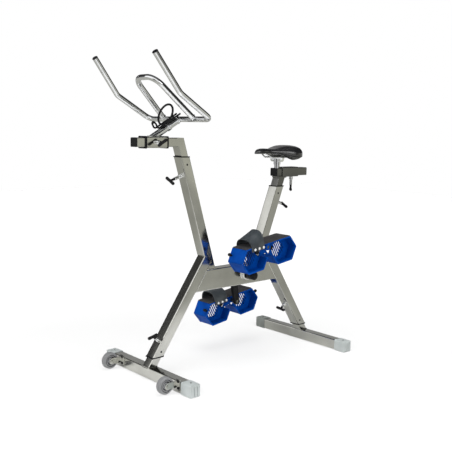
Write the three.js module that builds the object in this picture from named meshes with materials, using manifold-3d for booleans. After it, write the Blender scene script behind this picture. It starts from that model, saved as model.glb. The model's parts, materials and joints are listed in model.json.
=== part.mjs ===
// Aqua bike: an exercise cycle of welded stainless tube that stands on the floor of a pool.
// Millimetres, +Z up, +X toward the handlebar, +Y to the rider's left.
// Heights are measured from the floor. Places along X are measured from the middle between
// the two base bars, and the finished group is moved so that its box is centred on the origin.

import * as THREE from 'three';
import { mergeVertices } from 'three/addons/utils/BufferGeometryUtils.js';
import Module from 'manifold-3d';

const wasm = await Module();
wasm.setup();

const degree = Math.PI / 180;

// Driving dimensions

// Gap between pieces that touch, how far a cut runs past its piece, and a span longer than the bike.
const gap = 0.3;
const overrun = 2;
const span = 3000;

// Segments of a rounded edge (an arc takes two steps for each) and sides of round pieces.
const cornerSegments = 1;
const boreSides = 8;
const wireSides = 6;
const tubeSides = 12;
const wheelSides = 24;

// Outer rectangular tube of the frame, and the tube that telescopes in it.
const frameTube = { width: 50, depth: 44, wall: 3, corner: 5 };
const slideGap = 1;
const innerTube = {
  width: frameTube.width - 2 * (frameTube.wall + slideGap),
  depth: frameTube.depth - 2 * (frameTube.wall + slideGap),
  wall: 2.5,
  corner: 3.5,
};

// Square base bars that lie across the floor, with a moulded cap over each end.
const baseBar = { length: 580, size: 46, wall: 3, corner: 5, spacing: 898 };
const endCap = { size: 50, length: 60, wall: 4, corner: 6, edge: 2 };
const barMiddle = endCap.size / 2;
const barTop = barMiddle + baseBar.size / 2;
const frontBarX = baseBar.spacing / 2;
const rearBarX = -baseBar.spacing / 2;

// Beam that joins the legs, and the bottom bracket bore through it.
const beam = { bottom: 324, height: 90, wall: 3, corner: 5 };
const beamTop = beam.bottom + beam.height;

// Side-view centre lines: each passes through (x, z) and leans forward by its angle as it rises.
const frontLegLine = { x: frontBarX + 3, z: barTop, angle: -34.3 * degree };
const rearLegLine = { x: rearBarX + 4, z: barTop, angle: 33 * degree };
const frontColumnLine = { x: 151.5, z: beamTop, angle: 17.4 * degree };
const seatColumnLine = { x: -119.7, z: beamTop, angle: -21.2 * degree };

// Heights at which the outer tubes end, and how far the telescoping tubes reach into them.
const frontLegTop = 460;
const frontSleeveFoot = 87;
const rearSleeveFoot = 82;
// How far below its level tube each column ends.
const columnDrop = { front: 60, seat: 65 };
const postInsertion = 290;
const legInsertion = 230;

// Holes above and below the pin that is engaged, one pitch apart.
const postHoles = { below: 8, above: 1 };
const legHoles = { below: 1, above: 6 };

// Plastic bushing at each mouth: its height along the tube and how far it stands out.
const bushing = { height: 4, lip: 1.5 };

// Index holes in the telescoping tubes, and the pins that hold the bushings.
const indexHole = { radius: 4.5, pitch: 25 };
const bushingPin = { radius: 2.5, belowMouth: 29, aboveFoot: 18 };

// Sprung pull pin with a T handle: its housing stands on a tube and its pin runs through.
const plunger = {
  pinRadius: 3,
  clearance: 0.5,
  housingRadius: 9,
  collarRadius: 6.5,
  handleLength: 50,
  handleRadius: 5.5,
  neckRadius: 5,
};
const longPlunger = { boss: 14, housing: 38, reach: 61 };
const shortPlunger = { boss: 8, housing: 19, reach: 33 };

// How far below the top of each column its pull pin stands.
const columnPin = { front: 68, seat: 58 };

// Turn of the T handles on the two sliding sleeves.
const handleTurn = { carriage: 31 * degree, seatSleeve: 45 * degree };

// Handlebar post: the level tube that it carries, and the carriage that slides on that tube.
// Places on it, x forward and z up, are from its head, where the column's line meets that tube.
const handlebarRail = { height: 945, reach: 211 };
const frontColumnTop = handlebarRail.height - columnDrop.front;
const handlebarHead = { x: xOn(frontColumnLine, handlebarRail.height), z: handlebarRail.height };
const carriage = { rear: 72, length: 97 };
const mouthRing = { thickness: 5, lip: 2 };
const plug = { face: 3, skirt: 12 };

// Handlebar, its stem and the loop in the middle, bent from round tube.
const barTube = { radius: 11 };
const stemTube = { radius: 14, wall: 2.5 };
const stemFoot = { x: 119 };
const crossbar = { x: -3, z: 91, halfWidth: 184 };
const horn = {
  turnRadius: 29,
  bendRadius: 40,
  bend: new THREE.Vector3(152, 204, 182),
  tip: new THREE.Vector3(259, 197, 319),
};
const loop = {
  footHalfWidth: 96,
  topHalfWidth: 64,
  topX: 166,
  topZ: 245,
  bendRadius: 54,
};
const bendSteps = 5;

// Wire bottle cage on the stem.
const cage = {
  wire: 2.5,
  ringRadius: 42,
  ringLean: 50 * degree,
  ringFoot: 58,
  railHalfWidth: 12,
  railFoot: 24,
  railHead: 148,
  lift: 28,
  bend: 9,
};
const cageClamp = { thickness: 3, width: 14, height: 78 };

// Seat: sleeve on the seat post, bar that slides in it, saddle post, clamp, rails and saddle.
// Places on it are from its head, where the column's line meets the bar.
const seatRail = { height: 812, front: 41, length: 192 };
const seatColumnTop = seatRail.height - columnDrop.seat;
const seatHead = { x: xOn(seatColumnLine, seatRail.height), z: seatRail.height };
const seatSleeve = { front: 10.5, length: 104, pinShare: 0.78 };
const sleeveFoot = { front: 32, rear: -18, thickness: 4 };
const saddlePost = { x: 24, radius: 12.7, top: 50 };
const tiltAxis = { z: 60, radius: 10, halfWidth: 16 };
const clampCollar = { thickness: 3, height: 16 };
const jaw = { radius: 14, thickness: 15, boltRadius: 3, headRadius: 7, headHeight: 5 };
const rail = {
  radius: 3.5,
  halfWidth: 24,
  z: 67,
  front: 78,
  rear: -44,
  noseX: 116,
  noseZ: 87,
  tailX: -78,
  tailZ: 84,
  bend: 16,
  noseHalfWidth: 11,
  noseBend: 7,
};
const saddle = {
  nose: 161,
  tail: -103,
  top: 121,
  dip: 105,
  noseTop: 108,
  noseHalfWidth: 21,
  rearHalfWidth: 88,
  noseUnder: 82,
  rearUnder: 52,
  widestShare: 0.72,
  noseShare: 0.2,
  dipShare: 0.34,
  endShare: 0.3,
  tailPower: 0.7,
  waistShare: 0.45,
  tuckShare: 0.14,
  sidePower: 0.75,
  crownPower: 0.9,
  bellyPower: 0.6,
  stations: 20,
  ringPoints: 18,
};

// Bottom bracket, cranks and pedal spindles.
const bracket = { x: -49, z: beam.bottom + beam.height / 2, shellRadius: 24, shellBore: 18.5, halfWidth: 38 };
const axle = { radius: 9, halfLength: 82 };
const bearing = { inset: 2 };
const crank = {
  length: 148,
  angle: 11.7 * degree,
  inner: 60,
  thickness: 14,
  bossRadius: 18,
  bossInner: 42,
  bossOuter: 80,
  endRadius: 14,
};
const spindle = { radius: 7, flangeRadius: 11, flangeWidth: 14 };

// Pedal: a body of two open six-sided scoops under a foot plate, with a strap over the toes.
const pedal = { inner: 102, width: 87, tilt: 8.2 * degree, wall: 3.5, behind: 6, rise: 16.4 };
const pedalMiddle = pedal.inner + pedal.width / 2;
const scoop = { height: 104, flat: 86, tip: 32, apart: 22.6, lipShare: 0.12 };
const hub = { radius: 14, bore: 7.6 };
const web = { thickness: 4, centreDrop: 36, centreReach: 48 };
const webHole = { near: 18, far: 44, top: -26, foot: -45 };
const deck = { thickness: 3 };
const grille = { radius: 35, slot: 5.5, pitch: 10, lean: 20 * degree, count: 7 };
const footPlate = { length: 262, thickness: 3, edge: 1.5 };
const strap = {
  rear: 32,
  front: 104,
  thickness: 3,
  tab: 16.5,
  stations: 6,
  archPoints: 14,
  crownPower: 0.62,
  left: { rearHeight: 58, frontHeight: 31 },
  right: { rearHeight: 40, frontHeight: 40 },
};
const thumbScrew = { radius: 6.5, length: 19, fromEnd: 10, drop: 29 };

// Transport wheels on brackets in front of the front base bar.
const wheel = { radius: 34, width: 25, hubRadius: 17, reach: 47, z: 37, fromBarEnd: 100, round: 5, boss: 10 };
const wheelX = frontBarX + baseBar.size / 2 + wheel.reach;
const wheelHalfTrack = baseBar.length / 2 - wheel.fromBarEnd;
const wheelBracket = { thickness: 4, armHeight: 26, flangeWidth: 22, flangeHeight: 42, pin: 4, sideGap: 2 };
const bolt = { radius: 5, height: 3.5, spacing: 26 };
const capScrew = { radius: 3, height: 1.5, fromEnd: 30 };

// Materials, in the colours that the finished surfaces show

function material(color, roughness, metalness) {
  return new THREE.MeshStandardMaterial({ color, roughness, metalness });
}

const satinSteel = () => material(0xa9aca2, 0.35, 1);
const brightSteel = () => material(0xd4d7d8, 0.12, 1);
const blackPlastic = () => material(0x17181a, 0.5, 0);
const bluePlastic = () => material(0x0a3fa8, 0.35, 0);
const greyTread = () => material(0x3a3b3e, 0.7, 0);
const strapRubber = () => material(0x2c2e31, 0.6, 0);
const capPlastic = () => material(0xbfc3c5, 0.5, 0);
const tyreRubber = () => material(0x6d7076, 0.7, 0);
const saddleCover = () => material(0x0d0e10, 0.25, 0);

// Solids

// Turns a closed geometry into a solid. A geometry that is inside out is turned the right way.
function solid(geometry, matrix = new THREE.Matrix4()) {
  const bare = geometry.clone().applyMatrix4(matrix);
  bare.deleteAttribute('normal');
  bare.deleteAttribute('uv');
  const merged = mergeVertices(bare);
  const vertProperties = Float32Array.from(merged.attributes.position.array);
  const triVerts = Uint32Array.from(merged.index.array);
  if (signedVolume(vertProperties, triVerts) < 0) triVerts.reverse();
  return new wasm.Manifold(new wasm.Mesh({ numProp: 3, vertProperties, triVerts }));
}

function signedVolume(points, corners) {
  let sum = 0;
  const [a, b, c] = [new THREE.Vector3(), new THREE.Vector3(), new THREE.Vector3()];
  for (let i = 0; i < corners.length; i += 3) {
    a.fromArray(points, 3 * corners[i]);
    b.fromArray(points, 3 * corners[i + 1]);
    c.fromArray(points, 3 * corners[i + 2]);
    sum += a.dot(b.cross(c)) / 6;
  }
  return sum;
}

function union(...solids) {
  return solids.reduce((whole, next) => whole.add(next));
}

// A named mesh of a solid, added to the group that carries it.
function piece(parent, name, body, finish) {
  const { vertProperties, triVerts } = body.getMesh();
  const geometry = new THREE.BufferGeometry();
  geometry.setAttribute('position', new THREE.BufferAttribute(Float32Array.from(vertProperties), 3));
  geometry.setIndex(new THREE.BufferAttribute(Uint32Array.from(triVerts), 1));
  const facets = geometry.toNonIndexed();
  facets.computeVertexNormals();
  const mesh = new THREE.Mesh(facets, finish);
  mesh.name = name;
  parent.add(mesh);
  return mesh;
}

// Where things go

function shifted(x, y, z) {
  return new THREE.Matrix4().makeTranslation(x, y, z);
}

// Local Z runs up the leaning line, local X stays forward in the side view.
function onLine(line, height) {
  const turn = new THREE.Matrix4().makeRotationY(line.angle);
  return shifted(xOn(line, height), 0, height).multiply(turn);
}

function xOn(line, height) {
  return line.x + (height - line.z) * Math.tan(line.angle);
}

// A box given by its limits.
function block(x, y, z, matrix) {
  const geometry = new THREE.BoxGeometry(x[1] - x[0], y[1] - y[0], z[1] - z[0]);
  geometry.translate((x[0] + x[1]) / 2, (y[0] + y[1]) / 2, (z[0] + z[1]) / 2);
  return solid(geometry, matrix);
}

// A round bar along local Z, Y or X from one limit to the other.
function round(radius, limits, axis = 'z', sides = tubeSides, endRadius = radius) {
  const geometry = new THREE.CylinderGeometry(endRadius, radius, limits[1] - limits[0], sides);
  geometry.rotateX(Math.PI / 2);
  geometry.translate(0, 0, (limits[0] + limits[1]) / 2);
  if (axis === 'y') geometry.rotateX(-Math.PI / 2);
  if (axis === 'x') geometry.rotateY(Math.PI / 2);
  return geometry;
}

// Rectangle with rounded corners, across X by Y.
function roundedRectangle(sizeX, sizeY, radius) {
  const [x, y] = [sizeX / 2, sizeY / 2];
  const shape = new THREE.Shape();
  shape.moveTo(-x + radius, -y);
  shape.lineTo(x - radius, -y);
  shape.absarc(x - radius, -y + radius, radius, -Math.PI / 2, 0, false);
  shape.absarc(x - radius, y - radius, radius, 0, Math.PI / 2, false);
  shape.absarc(-x + radius, y - radius, radius, Math.PI / 2, Math.PI, false);
  shape.absarc(-x + radius, -y + radius, radius, Math.PI, 1.5 * Math.PI, false);
  return shape;
}

function extruded(shape, length) {
  return new THREE.ExtrudeGeometry(shape, {
    depth: length,
    steps: 1,
    bevelEnabled: false,
    curveSegments: cornerSegments,
  });
}

// A straight member of the frame, solid, with its two ends cut level.
function member(line, low, high, width, depth, corner) {
  const shape = roundedRectangle(depth / Math.cos(line.angle), width, corner);
  const lean = new THREE.Matrix4();
  lean.elements[8] = Math.tan(line.angle);
  return solid(extruded(shape, high - low), shifted(xOn(line, low), 0, low).multiply(lean));
}

function hollowMember(line, low, high, section) {
  const outside = member(line, low, high, section.width, section.depth, section.corner);
  const bore = member(
    line,
    low - overrun,
    high + overrun,
    section.width - 2 * section.wall,
    section.depth - 2 * section.wall,
    section.corner - section.wall / 2,
  );
  return outside.subtract(bore);
}

// A level rectangular bar along X, solid.
function levelBar(rear, front, height, width, depth, corner) {
  const geometry = extruded(roundedRectangle(depth, width, corner), front - rear);
  geometry.rotateY(Math.PI / 2);
  return solid(geometry, shifted(rear, 0, height));
}

function levelTube(rear, front, height, section) {
  const outside = levelBar(rear, front, height, section.width, section.depth, section.corner);
  const bore = levelBar(
    rear - overrun,
    front + overrun,
    height,
    section.width - 2 * section.wall,
    section.depth - 2 * section.wall,
    section.corner - section.wall / 2,
  );
  return outside.subtract(bore);
}

// A path of straight runs joined by round bends, sampled once per straight and a few times per bend.
class BentPath extends THREE.Curve {
  constructor(corners, radii) {
    super();
    this.points = [corners[0]];
    for (let i = 1; i < corners.length - 1; i += 1) this.addBend(corners, i, radii[i - 1]);
    this.points.push(corners[corners.length - 1]);
  }

  addBend(corners, index, radius) {
    const corner = corners[index];
    const back = corners[index - 1].clone().sub(corner).normalize();
    const ahead = corners[index + 1].clone().sub(corner).normalize();
    const halfTurn = back.angleTo(ahead) / 2;
    const setBack = radius / Math.tan(halfTurn);
    const centre = back.clone().add(ahead).setLength(radius / Math.sin(halfTurn)).add(corner);
    const start = back.clone().multiplyScalar(setBack).add(corner).sub(centre);
    const end = ahead.clone().multiplyScalar(setBack).add(corner).sub(centre);
    const normal = start.clone().cross(end).normalize();
    const sweep = start.angleTo(end);
    for (let step = 0; step <= bendSteps; step += 1) {
      const turned = start.clone().applyAxisAngle(normal, (sweep * step) / bendSteps);
      this.points.push(turned.add(centre));
    }
  }

  getPoint(t) {
    const place = t * (this.points.length - 1);
    const index = Math.min(Math.floor(place), this.points.length - 2);
    return this.points[index].clone().lerp(this.points[index + 1], place - index);
  }

  getPointAt(t) {
    return this.getPoint(t);
  }

  getTangentAt(t) {
    const last = this.points.length - 1;
    const index = Math.round(t * last);
    const before = this.points[Math.max(index - 1, 0)];
    const here = this.points[index];
    const after = this.points[Math.min(index + 1, last)];
    const arriving = here.clone().sub(before).normalize();
    const leaving = after.clone().sub(here).normalize();
    return arriving.add(leaving).normalize();
  }
}

// Round bar bent along a path.
function bentBar(path, radius, sides) {
  const section = new THREE.Shape();
  section.absarc(0, 0, radius, 0, 2 * Math.PI, false);
  return solid(
    new THREE.ExtrudeGeometry(section, {
      steps: path.points.length - 1,
      curveSegments: sides / 2,
      extrudePath: path,
      bevelEnabled: false,
    }),
  );
}

const bike = new THREE.Group();

// Frame: two columns, two outer leg tubes and the beam, welded together

// Everything ahead of the front leg's rear face, up to its square-cut top.
const frontLegTopFrame = onLine(frontLegLine, frontLegTop);
const behindFrontLeg = -frameTube.depth / 2 - gap;
const frontLegRegion = block([behindFrontLeg, span], [-span, span], [-span, gap], frontLegTopFrame);
const aheadOfBeam = block([behindFrontLeg, span], [-span, span], [-span, span], frontLegTopFrame);

// Everything behind the rear leg's front face.
const behindBeam = block(
  [-span, frameTube.depth / 2 + gap],
  [-span, span],
  [-span, span],
  onLine(rearLegLine, beamTop),
);

// Two bores through the side walls, a set way from a tube's mouth, for the pins of its bushing.
function bushingPinBore(line, height) {
  const bore = round(bushingPin.radius, [-frameTube.width, frameTube.width], 'y', boreSides);
  return solid(bore, onLine(line, height));
}

// Place of a pull pin: its axis is local X, square to the tube, and the tube's face is at half depth.
const plungerSeats = {
  front_column: { line: frontColumnLine, height: frontColumnTop - columnPin.front, side: 1, roll: -33, size: longPlunger },
  seat_column: { line: seatColumnLine, height: seatColumnTop - columnPin.seat, side: -1, roll: 24, size: longPlunger },
  front_leg: { line: frontLegLine, height: 136, side: 1, roll: 38, size: shortPlunger },
  rear_leg: { line: rearLegLine, height: 198, side: 1, roll: -10, size: shortPlunger },
};

// Bore in the front or rear wall of a tube for its pull pin.
function pinBore(seat, radius) {
  const limits = seat.side > 0 ? [0, frameTube.depth] : [-frameTube.depth, 0];
  return solid(round(radius, limits, 'x', boreSides), onLine(seat.line, seat.height));
}

const pinBoreRadius = plunger.pinRadius + plunger.clearance;

function outerTube(line, low, high, mouth, seat) {
  return hollowMember(line, low, high, frameTube)
    .subtract(bushingPinBore(line, mouth))
    .subtract(pinBore(seat, pinBoreRadius));
}

const frontColumn = outerTube(
  frontColumnLine,
  beamTop + gap,
  frontColumnTop,
  frontColumnTop - bushingPin.belowMouth,
  plungerSeats.front_column,
).subtract(frontLegRegion);
piece(bike, 'front_column', frontColumn, satinSteel());

const frontLegBlank = outerTube(
  frontLegLine,
  frontSleeveFoot,
  frontLegTop + frameTube.depth,
  frontSleeveFoot + bushingPin.aboveFoot,
  plungerSeats.front_leg,
);
const aboveFrontLeg = block([-span, span], [-span, span], [0, span], frontLegTopFrame);

// Plate welded in the square-cut top of the front leg, and one in the level top of the rear leg.
const frontLegPlate = block(
  [frameTube.wall - frameTube.depth / 2 - gap, frameTube.depth / 2 - frameTube.wall + gap],
  [frameTube.wall - frameTube.width / 2 - gap, frameTube.width / 2 - frameTube.wall + gap],
  [-frameTube.wall, 0],
  frontLegTopFrame,
);
piece(bike, 'front_leg', frontLegBlank.subtract(aboveFrontLeg).add(frontLegPlate), satinSteel());

const beamSection = { width: frameTube.width, depth: beam.height, wall: beam.wall, corner: beam.corner };
const beamBlank = levelTube(rearLegLine.x, frontLegLine.x, beam.bottom + beam.height / 2, beamSection);
const bracketBore = solid(
  round(bracket.shellRadius + gap, [-frameTube.width, frameTube.width], 'y', wheelSides),
  shifted(bracket.x, 0, bracket.z),
);
const mainBeam = beamBlank.subtract(aheadOfBeam).subtract(behindBeam).subtract(bracketBore);
piece(bike, 'main_beam', mainBeam, satinSteel());

const seatColumn = outerTube(
  seatColumnLine,
  beamTop + gap,
  seatColumnTop,
  seatColumnTop - bushingPin.belowMouth,
  plungerSeats.seat_column,
);
piece(bike, 'seat_column', seatColumn, satinSteel());

const rearLeg = outerTube(
  rearLegLine,
  rearSleeveFoot,
  beamTop,
  rearSleeveFoot + bushingPin.aboveFoot,
  plungerSeats.rear_leg,
);
const rearLegPlate = member(
  rearLegLine,
  beamTop - frameTube.wall,
  beamTop,
  frameTube.width - frameTube.wall,
  frameTube.depth - frameTube.wall,
  frameTube.corner,
);
piece(bike, 'rear_leg', rearLeg.add(rearLegPlate), satinSteel());

// Plastic bushings on the mouths of the four outer tubes

function bushingRing(line, low) {
  const high = low + bushing.height;
  const outside = member(
    line,
    low,
    high,
    frameTube.width + 2 * bushing.lip,
    frameTube.depth + 2 * bushing.lip,
    frameTube.corner,
  );
  const bore = member(
    line,
    low - overrun,
    high + overrun,
    innerTube.width + 2 * gap,
    innerTube.depth + 2 * gap,
    innerTube.corner,
  );
  return outside.subtract(bore);
}

piece(bike, 'front_column_bushing', bushingRing(frontColumnLine, frontColumnTop + gap), blackPlastic());
piece(bike, 'seat_column_bushing', bushingRing(seatColumnLine, seatColumnTop + gap), blackPlastic());
const legBushing = (line, mouth) => bushingRing(line, mouth - gap - bushing.height);
piece(bike, 'front_leg_bushing', legBushing(frontLegLine, frontSleeveFoot), blackPlastic());
piece(bike, 'rear_leg_bushing', legBushing(rearLegLine, rearSleeveFoot), blackPlastic());

// Pull pins with T handles

// Housing on a face at local X = 0: a boss and a narrower collar with a bore for the pin.
function plungerHousing(size) {
  const boss = solid(round(plunger.housingRadius, [gap, size.boss], 'x'));
  const collar = solid(round(plunger.collarRadius, [gap, size.housing], 'x'));
  const bore = solid(round(pinBoreRadius, [-overrun, size.housing + overrun], 'x', boreSides));
  return boss.add(collar).subtract(bore);
}

// Pin from the inner tube's face out to a T handle that crosses it.
function pullPin(size) {
  const depth = -frameTube.wall - slideGap / 2;
  const pin = solid(round(plunger.pinRadius, [depth, size.reach], 'x', boreSides));
  const neck = solid(round(plunger.neckRadius, [size.housing + gap, size.reach], 'x', boreSides));
  const half = plunger.handleLength / 2;
  const grip = solid(round(plunger.handleRadius, [-half, half], 'y'), shifted(size.reach, 0, 0));
  return union(pin, neck, grip);
}

// Matrix that puts local X = 0 on the outside of a frame tube and turns the handle about X.
function plungerPlace(seat) {
  const turn = seat.side > 0 ? 0 : Math.PI;
  return onLine(seat.line, seat.height)
    .multiply(new THREE.Matrix4().makeRotationZ(turn))
    .multiply(shifted(frameTube.depth / 2, 0, 0))
    .multiply(new THREE.Matrix4().makeRotationX(seat.roll * degree));
}

function placedGroup(matrix) {
  const group = new THREE.Group();
  group.applyMatrix4(matrix);
  bike.add(group);
  return group;
}

for (const [name, seat] of Object.entries(plungerSeats)) {
  const seatGroup = placedGroup(plungerPlace(seat));
  piece(seatGroup, `${name}_plunger_housing`, plungerHousing(seat.size), brightSteel());
  piece(seatGroup, `${name}_plunger`, pullPin(seat.size), blackPlastic());
}

// Telescoping tubes

// Row of holes in the wall of a telescoping tube that faces its pull pin.
function indexHoles(seat, holes) {
  const limits = seat.side > 0 ? [0, innerTube.depth] : [-innerTube.depth, 0];
  const rise = indexHole.pitch * Math.cos(seat.line.angle);
  const bores = Array.from({ length: holes.below + 1 + holes.above }, (_, i) =>
    solid(
      round(indexHole.radius, limits, 'x', boreSides),
      onLine(seat.line, seat.height + (i - holes.below) * rise),
    ),
  );
  return union(...bores);
}

// Base bar across the floor, open at its ends under the caps.
function baseBarSolid(x) {
  const half = baseBar.length / 2 - endCap.wall - gap;
  const outer = extruded(roundedRectangle(baseBar.size, baseBar.size, baseBar.corner), 2 * half);
  const boreSize = baseBar.size - 2 * baseBar.wall;
  const bore = extruded(roundedRectangle(boreSize, boreSize, baseBar.corner), 2 * (half + overrun));
  outer.rotateX(Math.PI / 2);
  bore.rotateX(Math.PI / 2);
  const hollow = solid(bore, shifted(x, half + overrun, barMiddle));
  return solid(outer, shifted(x, half, barMiddle)).subtract(hollow);
}

// Cap over one end of a base bar: a box with rounded long edges, open toward the bar.
function endCapSolid(x, side) {
  const end = baseBar.length / 2;
  const coreSize = endCap.size - 2 * endCap.edge;
  const core = roundedRectangle(coreSize, coreSize, endCap.corner - endCap.edge);
  const outer = new THREE.ExtrudeGeometry(core, {
    depth: endCap.length - endCap.edge,
    steps: 1,
    bevelThickness: endCap.edge,
    bevelSize: endCap.edge,
    bevelSegments: 1,
    curveSegments: cornerSegments,
  });
  const cavitySize = baseBar.size + 2 * gap;
  const cavity = extruded(roundedRectangle(cavitySize, cavitySize, baseBar.corner), endCap.length);
  outer.rotateX((-side * Math.PI) / 2);
  cavity.rotateX((-side * Math.PI) / 2);
  const openEnd = side * (end - endCap.length);
  const body = solid(outer, shifted(x, openEnd, barMiddle));
  const trim = block(
    [x - endCap.size, x + endCap.size],
    side > 0 ? [openEnd - endCap.edge - overrun, openEnd] : [openEnd, openEnd + endCap.edge + overrun],
    [-overrun, endCap.size + overrun],
  );
  const screw = solid(
    round(capScrew.radius, [endCap.size - endCap.edge, endCap.size + capScrew.height], 'z', boreSides),
    shifted(x, side * (end - capScrew.fromEnd), 0),
  );
  return body
    .subtract(solid(cavity, shifted(x, openEnd - side * endCap.wall, barMiddle)))
    .subtract(trim)
    .add(screw);
}

const frontInnerTop = frontSleeveFoot + legInsertion;
const rearInnerTop = rearSleeveFoot + legInsertion;

// Base bar with the telescoping tube of its leg welded on its top wall.
function legAndBar(x, seat, top) {
  const upright = hollowMember(seat.line, barTop - baseBar.wall, top, innerTube).subtract(
    indexHoles(seat, legHoles),
  );
  return baseBarSolid(x).add(upright);
}

piece(bike, 'front_base_bar', legAndBar(frontBarX, plungerSeats.front_leg, frontInnerTop), satinSteel());
piece(bike, 'front_left_end_cap', endCapSolid(frontBarX, 1), capPlastic());
piece(bike, 'front_right_end_cap', endCapSolid(frontBarX, -1), capPlastic());

piece(bike, 'rear_base_bar', legAndBar(rearBarX, plungerSeats.rear_leg, rearInnerTop), satinSteel());
piece(bike, 'rear_left_end_cap', endCapSolid(rearBarX, 1), capPlastic());
piece(bike, 'rear_right_end_cap', endCapSolid(rearBarX, -1), capPlastic());

// Transport wheels, each beside an angle bracket that two bolts hold to the front of the base bar

const barFront = frontBarX + baseBar.size / 2;
const bracketFace = barFront + gap + wheelBracket.thickness;

function wheelBracketSolid(middle) {
  const armSide = middle + wheel.width / 2 + wheelBracket.sideGap;
  const armLimits = [armSide, armSide + wheelBracket.thickness];
  const armHeights = [wheel.z - wheelBracket.armHeight / 2, wheel.z + wheelBracket.armHeight / 2];
  const flangeHeights = [wheel.z - wheelBracket.flangeHeight / 2, wheel.z + wheelBracket.flangeHeight / 2];
  const flangeLimits = [armSide, armSide + wheelBracket.flangeWidth];
  const flange = block([barFront + gap, bracketFace], flangeLimits, flangeHeights);
  const arm = block([barFront + gap, wheelX], armLimits, armHeights);
  const eye = solid(round(wheelBracket.armHeight / 2, armLimits, 'y'), shifted(wheelX, 0, wheel.z));
  const pinLimits = [middle - wheel.width / 2 - wheelBracket.sideGap, armLimits[1] + bolt.height];
  const pin = solid(round(wheelBracket.pin, pinLimits, 'y'), shifted(wheelX, 0, wheel.z));
  const boltY = armSide + (wheelBracket.flangeWidth + wheelBracket.thickness) / 2;
  const bolts = [-1, 1].map((side) =>
    solid(
      round(bolt.radius, [bracketFace - gap, bracketFace + bolt.height], 'x', boreSides),
      shifted(0, boltY, wheel.z + (side * bolt.spacing) / 2),
    ),
  );
  return union(flange, arm, eye, pin, ...bolts);
}

// Wheel about its own axle: a tyre ring round a hub with a raised boss and a sunken face.
function wheelSolid() {
  const half = wheel.width / 2;
  const bore = wheelBracket.pin + gap;
  const face = half - wheel.round;
  const tread = wheel.radius - wheel.round;
  const profile = [
    [bore, -half],
    [wheel.boss, -half],
    [wheel.boss, -face],
    [wheel.hubRadius, -face],
    [wheel.hubRadius, -half],
    [tread, -half],
    [wheel.radius, -face],
    [wheel.radius, face],
    [tread, half],
    [wheel.hubRadius, half],
    [wheel.hubRadius, face],
    [wheel.boss, face],
    [wheel.boss, half],
    [bore, half],
    [bore, -half],
  ];
  const corners = profile.map(([radius, height]) => new THREE.Vector2(radius, height));
  return solid(new THREE.LatheGeometry(corners, wheelSides));
}

for (const [name, side] of [
  ['left', 1],
  ['right', -1],
]) {
  const middle = side * wheelHalfTrack;
  piece(bike, `${name}_wheel_bracket`, wheelBracketSolid(middle), satinSteel());
  const wheelGroup = placedGroup(shifted(wheelX, middle, wheel.z));
  piece(wheelGroup, `${name}_transport_wheel`, wheelSolid(), tyreRubber());
}

// Handlebar post: upright tube and the level tube at its top, with a plug in the open end

const railTop = handlebarRail.height + innerTube.depth / 2;
const railFront = handlebarHead.x + handlebarRail.reach;
const postFoot = frontColumnTop - postInsertion;
const uprightOutside = member(
  frontColumnLine,
  postFoot,
  railTop,
  innerTube.width,
  innerTube.depth,
  innerTube.corner,
);
const railOutside = levelBar(
  handlebarHead.x,
  railFront,
  handlebarRail.height,
  innerTube.width,
  innerTube.depth,
  innerTube.corner,
);
const tubeBore = { width: innerTube.width - 2 * innerTube.wall, depth: innerTube.depth - 2 * innerTube.wall };
const boreCorner = innerTube.corner - innerTube.wall / 2;
const uprightBore = member(
  frontColumnLine,
  postFoot - overrun,
  railTop - innerTube.wall,
  tubeBore.width,
  tubeBore.depth,
  boreCorner,
);
const railBore = levelBar(
  handlebarHead.x,
  railFront + overrun,
  handlebarRail.height,
  tubeBore.width,
  tubeBore.depth,
  boreCorner,
);
const handlebarPost = uprightOutside
  .add(railOutside)
  .subtract(uprightBore)
  .subtract(railBore)
  .subtract(indexHoles(plungerSeats.front_column, postHoles));
piece(bike, 'handlebar_post', handlebarPost, satinSteel());

// Plug for an open tube end: a face over the end and a skirt inside. Side 1 faces forward.
function tubePlug(x, height, side) {
  const sorted = (a, b) => [Math.min(a, b), Math.max(a, b)];
  const [faceRear, faceFront] = sorted(x + side * gap, x + side * (gap + plug.face));
  const [skirtRear, skirtFront] = sorted(x + side * (gap + plug.face / 2), x - side * plug.skirt);
  const face = levelBar(faceRear, faceFront, height, innerTube.width, innerTube.depth, innerTube.corner);
  const skirt = levelBar(
    skirtRear,
    skirtFront,
    height,
    tubeBore.width - 2 * gap,
    tubeBore.depth - 2 * gap,
    boreCorner,
  );
  return face.add(skirt);
}

piece(bike, 'handlebar_post_plug', tubePlug(railFront, handlebarRail.height, 1), blackPlastic());

// Handlebar carriage: sleeve on the level tube, bushings in its mouths and its pull pin

const carriageRear = handlebarHead.x + carriage.rear;
const carriageFront = carriageRear + carriage.length;
const carriageTop = handlebarRail.height + frameTube.depth / 2;
const carriageMiddle = (carriageRear + carriageFront) / 2;

// Pull pin of a sleeve: local X points out of the wall, and local X = 0 is the wall's outside.
const carriagePinPlace = shifted(carriageMiddle, frameTube.width / 2, handlebarRail.height)
  .multiply(new THREE.Matrix4().makeRotationZ(Math.PI / 2))
  .multiply(new THREE.Matrix4().makeRotationX(handleTurn.carriage));
const sleeveFront = seatHead.x + seatSleeve.front;
const saddlePinX = sleeveFront - seatSleeve.pinShare * seatSleeve.length;
const saddlePinPlace = shifted(saddlePinX, 0, seatRail.height - frameTube.depth / 2)
  .multiply(new THREE.Matrix4().makeRotationY(Math.PI / 2))
  .multiply(new THREE.Matrix4().makeRotationX(handleTurn.seatSleeve));

function sleevePinBore(matrix) {
  return solid(round(pinBoreRadius, [-frameTube.wall - overrun, overrun], 'x', boreSides), matrix);
}

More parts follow.
